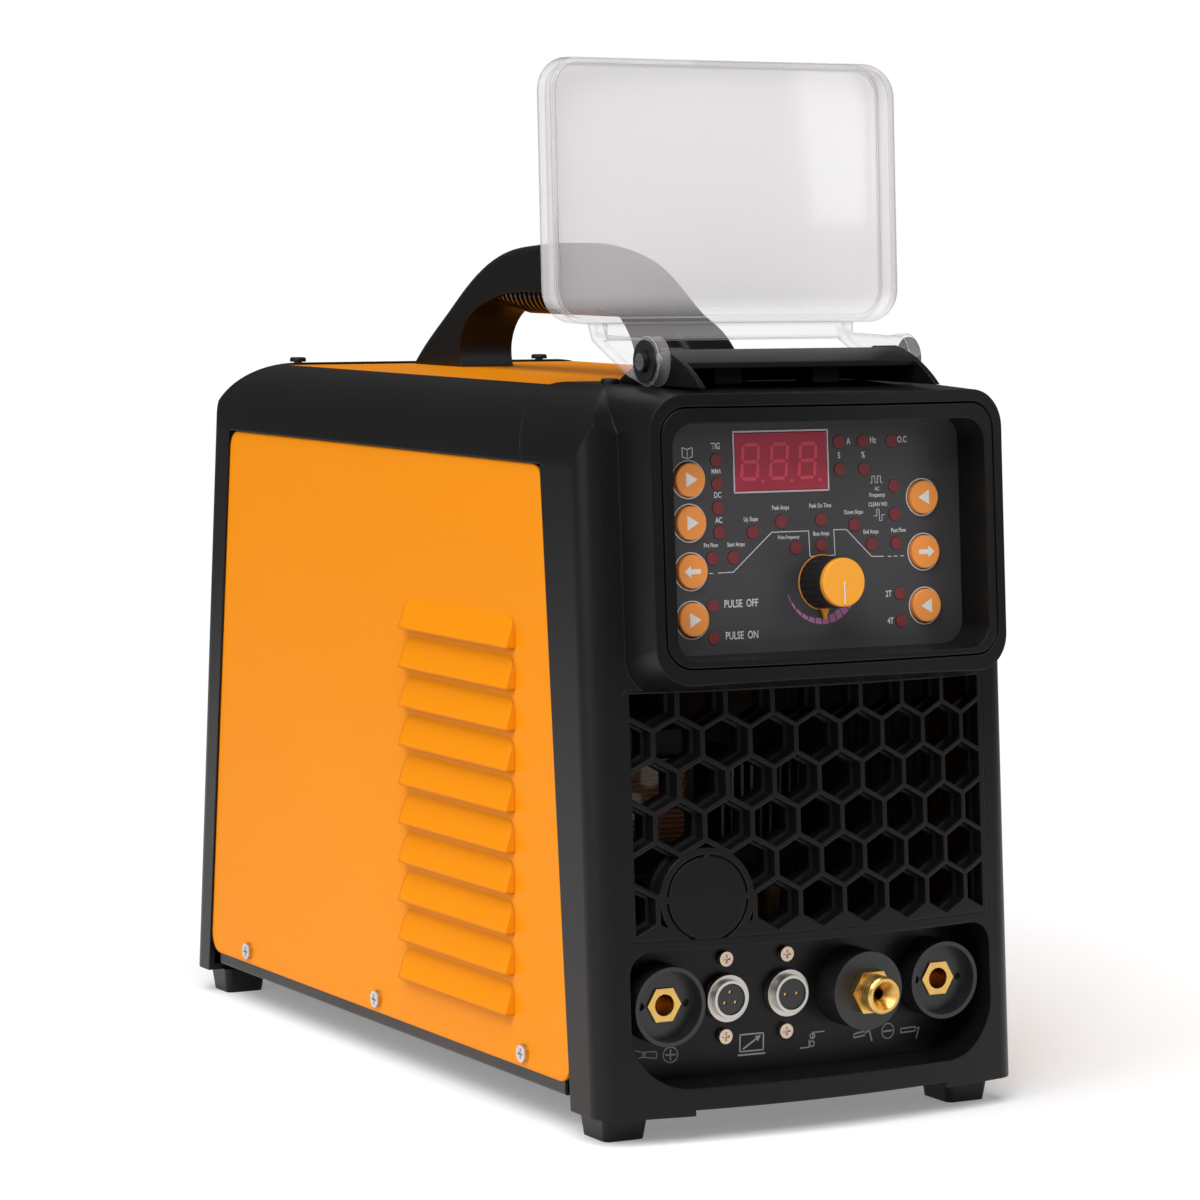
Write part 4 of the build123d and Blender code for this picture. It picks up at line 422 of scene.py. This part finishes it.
pulse = (line([(-44.2, 235.3), (-36.9, 235.4), (-17.8, 251.3), (0.3, 251.3), (0.6, 240.6),
               (4.0, 240.6)], 0.34)
         + line([(9.5, 240.6), (13.0, 240.8), (12.7, 251.4), (19.0, 251.3), (31.2, 239.6),
                 (37.2, 239.4)], 0.34)
         + [bar(x, 235.2, x + 1.5, 235.2, 0.34) for x in (-48.4,)]
         + [bar(x, 239.3, x + 1.5, 239.3, 0.34) for x in (39.4, 42.6, 45.8)])
wave = [(31.6, 270.6), (32.4, 270.6), (32.4, 273.4), (33.9, 273.4), (33.9, 270.6), (35.2, 270.6),
        (35.2, 273.4), (36.7, 273.4), (36.7, 270.6), (37.6, 270.6)]
clean = [(33.0, 256.6), (34.4, 256.6), (34.4, 259.4), (35.6, 259.4), (35.6, 254.6), (36.9, 254.6),
         (36.9, 257.0), (38.2, 257.0)]
book = [(-59.8, 283.6), (-59.8, 287.4), (-57.4, 286.6), (-55.0, 287.4), (-55.0, 283.6),
        (-57.4, 282.8), (-59.8, 283.6)]
flat_shapes("panel_diagram", pulse + line(wave, 0.26) + line(clean, 0.26) + line(book, 0.4)
            + [bar(-57.4, 282.8, -57.4, 286.6, 0.3)], panel_matrix, white_ink)
flat_shapes("knob_scale", [
    (6.3, 229.6, arc_segment(17.3 - 0.44 * n, 17.6, 196 + 12.2 * n, 206.4 + 12.2 * n, 6))
    for n in range(12)], panel_matrix, pink_ink)


# ------------------------------------------------------------------ red numeric display
# Three seven-segment digits behind a red filter, set in the panel with a pale printed
# border.  The digits are off, so the segments show only as a lighter red.
DISPLAY_X, DISPLAY_Z = -12.3, 280.8


def red_filter(pen):
    cloud = pen.noise(60.0, 2.0)
    return {"Base Color": pen.colour((0.34, 0.030, 0.055)).blend(
                pen.colour((0.40, 0.038, 0.066)), cloud),
            "Roughness": 0.22 + cloud * 0.08}


red_window = finish("red_filter", {}, red_filter)
segment_red = finish("segment_red", {}, ink((0.62, 0.055, 0.095), (0.56, 0.048, 0.085)))
wear(red_window, "display_window")


def digit(x, z, width, height, stroke):
    """The seven segments of one slightly slanted digit."""
    slant = 0.09
    half = height / 2 - stroke
    ends = [((-1, 1), (1, 1)), ((-1, 0), (1, 0)), ((-1, -1), (1, -1)),
            ((-1, 0), (-1, 1)), ((1, 0), (1, 1)), ((-1, -1), (-1, 0)), ((1, -1), (1, 0))]
    shapes = []
    for (u0, v0), (u1, v1) in ends:
        a = Vector((u0 * width / 2 + v0 * half * slant, v0 * half))
        b = Vector((u1 * width / 2 + v1 * half * slant, v1 * half))
        step = (b - a).normalized()
        a, b = a + step * stroke * 0.72, b - step * stroke * 0.72
        side = Vector((-step.y, step.x)) * stroke / 2
        tip = step * stroke / 2
        outline = [a - side, b - side, b + tip, b + side, a + side, a - tip]
        shapes.append((x, z, [tuple(p) for p in outline]))
    dot = arc_segment(0.0, 0.75, 0, 360, 12)[:12]
    shapes.append((x + width / 2 + 2.1, z - height / 2 + 0.4, dot))
    return shapes


WINDOW_TOP = 0.0002


def window_matrix(x, z):
    return panel_matrix(x, z, WINDOW_TOP)


DIGIT_PITCH, DIGITS_LEFT, DIGIT_WIDTH, DIGIT_HEIGHT, DIGIT_STROKE = 14.0, 1.1, 7.6, 17.2, 1.5
digits = []
for n in (-1, 0, 1):
    digits += digit(DISPLAY_X - DIGITS_LEFT + DIGIT_PITCH * n, DISPLAY_Z, DIGIT_WIDTH,
                    DIGIT_HEIGHT, DIGIT_STROKE)
flat_shapes("display_digits", digits, window_matrix, segment_red, slot="red_window")
BORDER_HALF_WIDTH, BORDER_HALF_HEIGHT = 23.0, 12.6
flat_shapes("display_border", [
    bar(DISPLAY_X + a * BORDER_HALF_WIDTH, DISPLAY_Z + b * BORDER_HALF_HEIGHT,
        DISPLAY_X + c * BORDER_HALF_WIDTH, DISPLAY_Z + d * BORDER_HALF_HEIGHT, 0.7)
    for a, b, c, d in ((-1, -1, 1, -1), (1, -1, 1, 1), (1, 1, -1, 1), (-1, 1, -1, -1))],
    panel_matrix, finish("pale_ink", {}, ink((0.62, 0.50, 0.52), (0.5, 0.4, 0.42))), 0.00025)


# ------------------------------------------------------------ indicator lamps and boards
# Twenty-five small round red lenses, unlit, over lamps soldered to a green circuit board.
def lens_red(pen):
    glow = pen.noise(700.0, 2.0)
    return {"Base Color": pen.colour((0.13, 0.012, 0.015)).blend(
                pen.colour((0.20, 0.02, 0.024)), glow),
            "Roughness": 0.42 + glow * 0.1}


def board_green(pen):
    traces = pen.noise(160.0, 1.0).between(0.48, 0.52)
    return {"Base Color": pen.colour((0.010, 0.085, 0.030)).blend(
                pen.colour((0.02, 0.16, 0.06)), traces),
            "Roughness": 0.35 + traces * 0.1}


wear(finish("lens_red", {"Coat Weight": 0.2}, lens_red), "status_leds")
wear(finish("board_green", {}, board_green), "control_board", "main_board")


# -------------------------------------------------------------------------- push buttons
# Seven round orange keys with white arrows, each in a hole with a pale printed ring.  An
# arrow is printed on its key and travels with it.
BUTTONS = {"mode": (-57.3, 274.2, "play"), "output": (-57.3, 256.3, "play"),
           "back": (-57.3, 236.3, "left"), "pulse": (-57.3, 216.3, "play"),
           "balance": (57.3, 263.9, "rewind"), "next": (57.3, 240.7, "right"),
           "trigger": (57.3, 217.8, "rewind")}
ARROWS = {"play": [(-2.2, -3.1), (3.2, 0.0), (-2.2, 3.1)],
          "rewind": [(2.2, -3.1), (2.2, 3.1), (-3.2, 0.0)],
          "left": [(-4.2, 0.0), (-1.2, -2.5), (-1.2, -1.0), (3.6, -1.0), (3.6, 1.0), (-1.2, 1.0),
                   (-1.2, 2.5)],
          "right": [(4.2, 0.0), (1.2, 2.5), (1.2, 1.0), (-3.6, 1.0), (-3.6, -1.0), (1.2, -1.0),
                    (1.2, -2.5)]}


def orange_key(pen):
    cloud = pen.noise(90.0, 3.0)
    fine = pen.noise(1500.0)
    return {"Base Color": pen.colour((0.90, 0.31, 0.055)).blend(
                pen.colour((0.82, 0.27, 0.045)), cloud),
            "Roughness": 0.38 + fine * 0.14,
            "Normal": pen.bump(fine, 0.00002, 0.3,
                               pen.node("Bevel", {"samples": 3}, {"Radius": 0.0003}))}


key_orange = finish("key_orange", {}, orange_key)
arrow_white = finish("arrow_white", {}, ink((0.80, 0.77, 0.74), (0.70, 0.67, 0.64)))


KEY_TOP = 0.0022


def key_matrix(x, z):
    return panel_matrix(x, z, KEY_TOP)


rings = []
for name, (x, z, arrow) in BUTTONS.items():
    wear(key_orange, name + "_button")
    flat_shapes(name + "_arrow", [(x, z, ARROWS[arrow])], key_matrix, arrow_white,
                body=name + "_key", slot="orange_plastic")
    rings += ring(x, z, 7.55, 8.1)
flat_shapes("button_rings", rings, panel_matrix, white_ink)


# ---------------------------------------------------------------------------------- knob
# A fluted black knob with an orange cap that carries a pale line, over a yellow seal ring
# and a small orange pointer at its skirt.
KNOB = (6.3, 229.6)


def smooth_black(gloss):
    def make(pen):
        cloud = pen.noise(40.0, 3.0)
        fine = pen.noise(1200.0)
        return {"Base Color": pen.colour((0.010, 0.010, 0.011)).blend(
                    pen.colour((0.018, 0.018, 0.019)), cloud),
                "Roughness": gloss + fine * 0.12,
                "Normal": pen.bump(fine, 0.00002, 0.3,
                                   pen.node("Bevel", {"samples": 3}, {"Radius": 0.0003}))}
    return make


satin_black = finish("satin_black", {}, smooth_black(0.30))
gloss_black = finish("gloss_black", {"Coat Weight": 0.3}, smooth_black(0.14))
cap_orange = finish("cap_orange", {}, ink((0.92, 0.37, 0.022), (0.86, 0.33, 0.018)))
wear(satin_black, "current_knob", "button_switches")
wear(cap_orange, "knob_cap")


CAP_TOP, SKIRT_FOOT = 0.01756, 0.0005


def cap_matrix(x, z):
    return panel_matrix(x, z, CAP_TOP)


def skirt_matrix(x, z):
    return panel_matrix(x, z, SKIRT_FOOT)


flat_shapes("knob_line", [(*KNOB, [(-0.32, -9.2), (0.32, -9.2), (0.32, 0.6), (-0.32, 0.6)])],
            cap_matrix, arrow_white, body="knob", slot="orange_plastic")
flat_shapes("knob_pointer", [(*KNOB, [(-1.9, -11.0), (0.0, -16.2), (1.9, -11.0)])],
            skirt_matrix, cap_orange, 0.0016, body="knob", slot="orange_plastic")
flat_shapes("knob_seal", ring(*KNOB, 11.35, 11.75), panel_matrix, cap_orange, 0.0003,
            slot="orange_plastic")


# --------------------------------------------------------------------------- socket row
# Two brass weld-cable sockets in black cups, two nickel-plated control sockets with
# yellow-zinc screws, and a turned brass gas outlet on a black flange.
def brassy(pen):
    turned = pen.noise(900.0, 2.0, 0.6, (0.2, 1.0, 0.2))
    stain = pen.noise(160.0, 3.0)
    return {"Base Color": pen.colour((0.78, 0.50, 0.16)).blend(
                pen.colour((0.62, 0.37, 0.10)), stain),
            "Roughness": 0.17 + turned * 0.16 + stain * 0.06,
            "Normal": pen.bump(turned, 0.00002, 0.3,
                               pen.node("Bevel", {"samples": 3}, {"Radius": 0.0003}))}


brass = finish("turned_brass", {"Metallic": 1.0}, brassy)
nickel = finish("satin_nickel", {"Metallic": 1.0},
                plated((0.60, 0.57, 0.53), (0.50, 0.47, 0.44), 0.24))
yellow_zinc = finish("yellow_zinc", {"Metallic": 1.0},
                     plated((0.68, 0.55, 0.33), (0.55, 0.42, 0.42), 0.24))
wear(brass, "weld_socket_inserts", "gas_outlet", "control_socket_pins", "gas_inlet",
     "gas_valve")
wear(nickel, "control_socket_shells")
wear(yellow_zinc, "control_socket_screws")
wear(satin_black, "weld_sockets", "control_socket_cores", "gas_outlet_flange")

grey_ink = finish("grey_ink", {}, ink((0.30, 0.32, 0.34), (0.24, 0.26, 0.28)))
WALL_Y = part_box("socket_panel")[0].y * 1000
WALL_BOW, MARK_PROUD = 450.0, 0.12


def recess_matrix(x, z):
    """A mark on the bowed wall of the socket recess."""
    y = WALL_Y + WALL_BOW - math.sqrt(WALL_BOW * WALL_BOW - x * x) - MARK_PROUD
    lean = math.asin(x / WALL_BOW)
    turn = Matrix.Rotation(lean, 4, "Z") @ Matrix.Rotation(math.pi / 2, 4, "X")
    return Matrix.Translation((x / 1000, y / 1000, z / 1000)) @ turn


def shifted(x, z, shapes):
    """Moves shapes drawn about the origin to (x, z), keeping them flat on one mark's plane."""
    return [(x, z, [(u + du, v + dv) for du, dv in outline]) for u, v, outline in shapes]


plus_sign = ring(0, 0, 3.0, 3.5) + [bar(-2.0, 0, 2.0, 0, 0.7), bar(0, -2.0, 0, 2.0, 0.7)]
minus_sign = ring(0, 0, 3.0, 3.5) + [bar(-2.0, 0, 2.0, 0, 0.8)]
remote_box = line([(-5.6, -3.4), (5.6, -3.4), (5.6, 3.8), (-5.6, 3.8), (-5.6, -3.4)], 0.6) + [
    bar(-6.2, -4.9, 6.2, -4.9, 0.7), bar(-3.8, -2.2, 2.6, 1.8, 0.7),
    (0, 0, [(1.6, 2.6), (3.0, 0.4), (4.4, 3.0)])]
switch_sign = line([(-6.0, -3.0), (-1.6, -3.0), (-1.6, 0.0)], 0.5) + line(
    [(0.2, 0.6), (0.2, 3.2), (5.8, 3.2)], 0.5) + ring(-0.2, -1.6, 0.9, 1.4) + ring(
    0.0, 1.7, 0.9, 1.4)
clamp_sign = line([(-6.0, -2.6), (-1.0, -1.0), (5.6, -2.0), (5.6, 0.9), (-1.0, 1.0), (-6.0, 2.6),
                   (-4.0, 0.6), (-4.0, -0.6), (-6.0, -2.6)], 0.5) + ring(0.0, 0.0, 0.3, 0.8)
torch_sign = line([(-5.0, -0.8), (0.8, -0.2), (0.8, 1.6), (-5.0, 0.8), (-5.0, -0.8)], 0.8) + line(
    [(0.8, 0.6), (3.2, 1.8), (4.6, -2.8)], 0.8)
holder_sign = line([(-5.2, -0.9), (3.0, -0.9), (3.0, 0.9), (-5.2, 0.9), (-5.2, -0.9)], 0.6) + line(
    [(3.0, 0.0), (5.2, 0.4), (3.6, -4.2)], 0.5)
flat_shapes("socket_marks",
            shifted(-72.3, 33.8, clamp_sign) + shifted(-60.6, 32.9, plus_sign)
            + shifted(-23.1, 35.2, remote_box) + shifted(6.7, 33.8, switch_sign)
            + shifted(33.0, 33.4, torch_sign) + shifted(46.3, 33.7, minus_sign)
            + shifted(58.6, 33.0, holder_sign), recess_matrix, grey_ink, slot="black_cover")


# --------------------------------------------------------------------------- grip insert
# A ribbed insert under the handle, moulded in a glossier black than the shell round it.
wear(gloss_black, "handle_grip")


# ------------------------------------------------------------------------ rear fittings
# The fan with its wire guard, the mains rocker switch, the cable gland and the brass hose
# tail.  The fan's frame and blades are plain satin nylon.
wear(satin_black, "fan_frame", "fan_rotor", "power_switch", "mains_gland")
wear(gloss_black, "power_rocker", "capacitors")


# ------------------------------------------------------------------ inside the casing
# Boards, finned aluminium heat sinks, a ferrite transformer with lacquered copper windings
# and a choke, which show through the honeycomb and the louvres.
def extruded(pen):
    drawn = pen.noise(300.0, 2.0, 0.6, (1.0, 0.02, 1.0))
    return {"Base Color": pen.colour((0.55, 0.56, 0.58)).blend(
                pen.colour((0.42, 0.43, 0.45)), drawn),
            "Roughness": 0.28 + drawn * 0.2}


def windings(pen):
    turns = pen.node("TexWave", {"wave_type": "BANDS", "bands_direction": "Z"},
                     {"Vector": pen.node("TexCoord", output=3), "Scale": 140.0,
                      "Distortion": 0.6})
    return {"Base Color": pen.colour((0.24, 0.07, 0.02)).blend(
                pen.colour((0.62, 0.24, 0.08)), turns),
            "Roughness": 0.26 + turns * 0.12,
            "Normal": pen.bump(turns, 0.0003, 0.5)}


def sintered(pen):
    grain = pen.noise(700.0, 3.0)
    return {"Base Color": pen.colour((0.035, 0.036, 0.038)).blend(
                pen.colour((0.06, 0.06, 0.062)), grain),
            "Roughness": 0.55 + grain * 0.15,
            "Normal": pen.bump(grain, 0.00003, 0.4)}


# A dark pleated felt sheet stands behind the louvres of each side, a dark sheet that stands
# in for the shade behind them.  The screens are a guess at how the louvres are backed.
SCREEN_X, SCREEN_Y, SCREEN_Z = 0.0985, (-0.136, -0.004), (0.041, 0.230)
PLEATS, PLEAT_DEPTH, FELT = 44, 0.0009, 0.0004
felt = finish("shade_felt", {}, sintered)
for side, name in ((-1, "dust_screen_left"), (1, "dust_screen_right")):
    folded = bmesh.new()
    rows = []
    for n in range(PLEATS + 1):
        y = SCREEN_Y[0] + (SCREEN_Y[1] - SCREEN_Y[0]) * n / PLEATS
        x = SCREEN_X - PLEAT_DEPTH * (n % 2)
        rows.append([folded.verts.new((side * (x - inner), y, z))
                     for inner, z in ((0.0, SCREEN_Z[0]), (0.0, SCREEN_Z[1]),
                                      (FELT, SCREEN_Z[1]), (FELT, SCREEN_Z[0]))])
    for one, two in zip(rows, rows[1:]):
        for n in range(4):
            folded.faces.new((one[n], one[(n + 1) % 4], two[(n + 1) % 4], two[n]))
    folded.faces.new(rows[0])
    folded.faces.new(rows[-1])
    bmesh.ops.recalc_face_normals(folded, faces=folded.faces)
    mesh = bpy.data.meshes.new(name)
    folded.to_mesh(mesh)
    folded.free()
    new_piece(name, mesh, felt, slot="black_plain")
wear(finish("extruded_aluminium", {"Metallic": 1.0}, extruded), "heat_sinks")
wear(finish("lacquered_copper", {"Coat Weight": 0.5}, windings), "transformer_coil",
     "output_choke")
wear(finish("ferrite", {}, sintered), "transformer", "display_module")
wear(finish("hose_rubber", {}, sintered), "gas_hose")


# ------------------------------------------------------------------------- the floor
# A plain pale studio floor, which glows slightly, in a surround that looks white but gives
# little light.
FLOOR_RADIUS = 1.7
SURROUND_LIGHT, SURROUND_EXTRA_WHEN_SEEN = 0.12, 0.89


def pale_floor(pen):
    return {"Base Color": pen.colour((0.88, 0.88, 0.88)).blend(
                pen.colour((0.86, 0.86, 0.865)), pen.noise(2.0, 2.0)),
            "Roughness": 0.6 + pen.noise(5.0) * 0.05}


sweep = bmesh.new()
bmesh.ops.create_circle(sweep, cap_ends=True, segments=96, radius=FLOOR_RADIUS)
floor_mesh = bpy.data.meshes.new("studio_floor")
sweep.to_mesh(floor_mesh)
sweep.free()
floor = bpy.data.objects.new("studio_floor", floor_mesh)
floor_mesh.materials.append(finish("pale_floor", {
    "Specular IOR Level": 0.1, "Emission Color": (1.0, 1.0, 1.0, 1.0),
    "Emission Strength": 0.24}, pale_floor))
bpy.context.scene.collection.objects.link(floor)

world = bpy.data.worlds.new("surround")
world.use_nodes = True
backdrop = world.node_tree.nodes["Background"]
backdrop.inputs["Color"].default_value = (1.0, 1.0, 1.0, 1.0)
seen = Shade(world.node_tree, None).node("LightPath")
world.node_tree.links.new((SURROUND_LIGHT + seen * SURROUND_EXTRA_WHEN_SEEN).socket,
                           backdrop.inputs["Strength"])
bpy.context.scene.world = world
bpy.context.scene.view_settings.view_transform = "Standard"


# ------------------------------------------------------------------------- studio light
# Soft boxes to the left, right and front of the machine, and a wide soft light overhead.
def soft_box(name, place, aim, width, height, power):
    light = bpy.data.lights.new(name, "AREA")
    light.shape = "RECTANGLE"
    light.size = width
    light.size_y = height
    light.energy = power
    lamp = bpy.data.objects.new(name, light)
    lamp.location = place
    lamp.rotation_euler = (Vector(aim) - Vector(place)).to_track_quat("-Z", "Y").to_euler()
    bpy.context.scene.collection.objects.link(lamp)


soft_box("left_box", (-1.9, -0.5, 0.9), (0.0, 0.0, 0.2), 1.4, 1.5, 10.5)
soft_box("right_box", (1.5, -1.7, 1.2), (0.0, -0.1, 0.2), 0.9, 1.3, 8.0)

soft_box("shoulder_box", (-1.5, -1.9, 1.9), (0.0, -0.2, 0.3), 0.6, 0.5, 9.0)

overhead = bpy.data.lights.new("overhead", "SUN")
overhead.energy = 2.75
overhead.angle = math.radians(60.0)
overhead_lamp = bpy.data.objects.new("overhead", overhead)
overhead_lamp.rotation_euler = Vector((0.42, 0.30, -1.0)).to_track_quat("-Z", "Y").to_euler()
bpy.context.scene.collection.objects.link(overhead_lamp)


# ------------------------------------------------------------------------------- camera
# A long lens a little above the machine's top, turned 29 degrees to its left.
TURN, PITCH, ROLL = math.radians(28.939), math.radians(5.103), math.radians(0.232)
forward = Vector((math.sin(TURN) * math.cos(PITCH), math.cos(TURN) * math.cos(PITCH),
                  -math.sin(PITCH)))
level = Vector((math.cos(TURN), -math.sin(TURN), 0.0))
upright = level.cross(forward)
right = math.cos(ROLL) * level + math.sin(ROLL) * upright
up = -math.sin(ROLL) * level + math.cos(ROLL) * upright
lens = bpy.data.cameras.new("camera")
lens.lens = 125.73
lens.sensor_width = 36.0
lens.clip_end = 60.0
camera = bpy.data.objects.new("camera", lens)
camera.matrix_world = (Matrix.Translation((-0.92422, -1.683, 0.37838))
                       @ Matrix((right, up, -forward)).transposed().to_4x4())
bpy.context.scene.collection.objects.link(camera)
bpy.context.scene.camera = camera
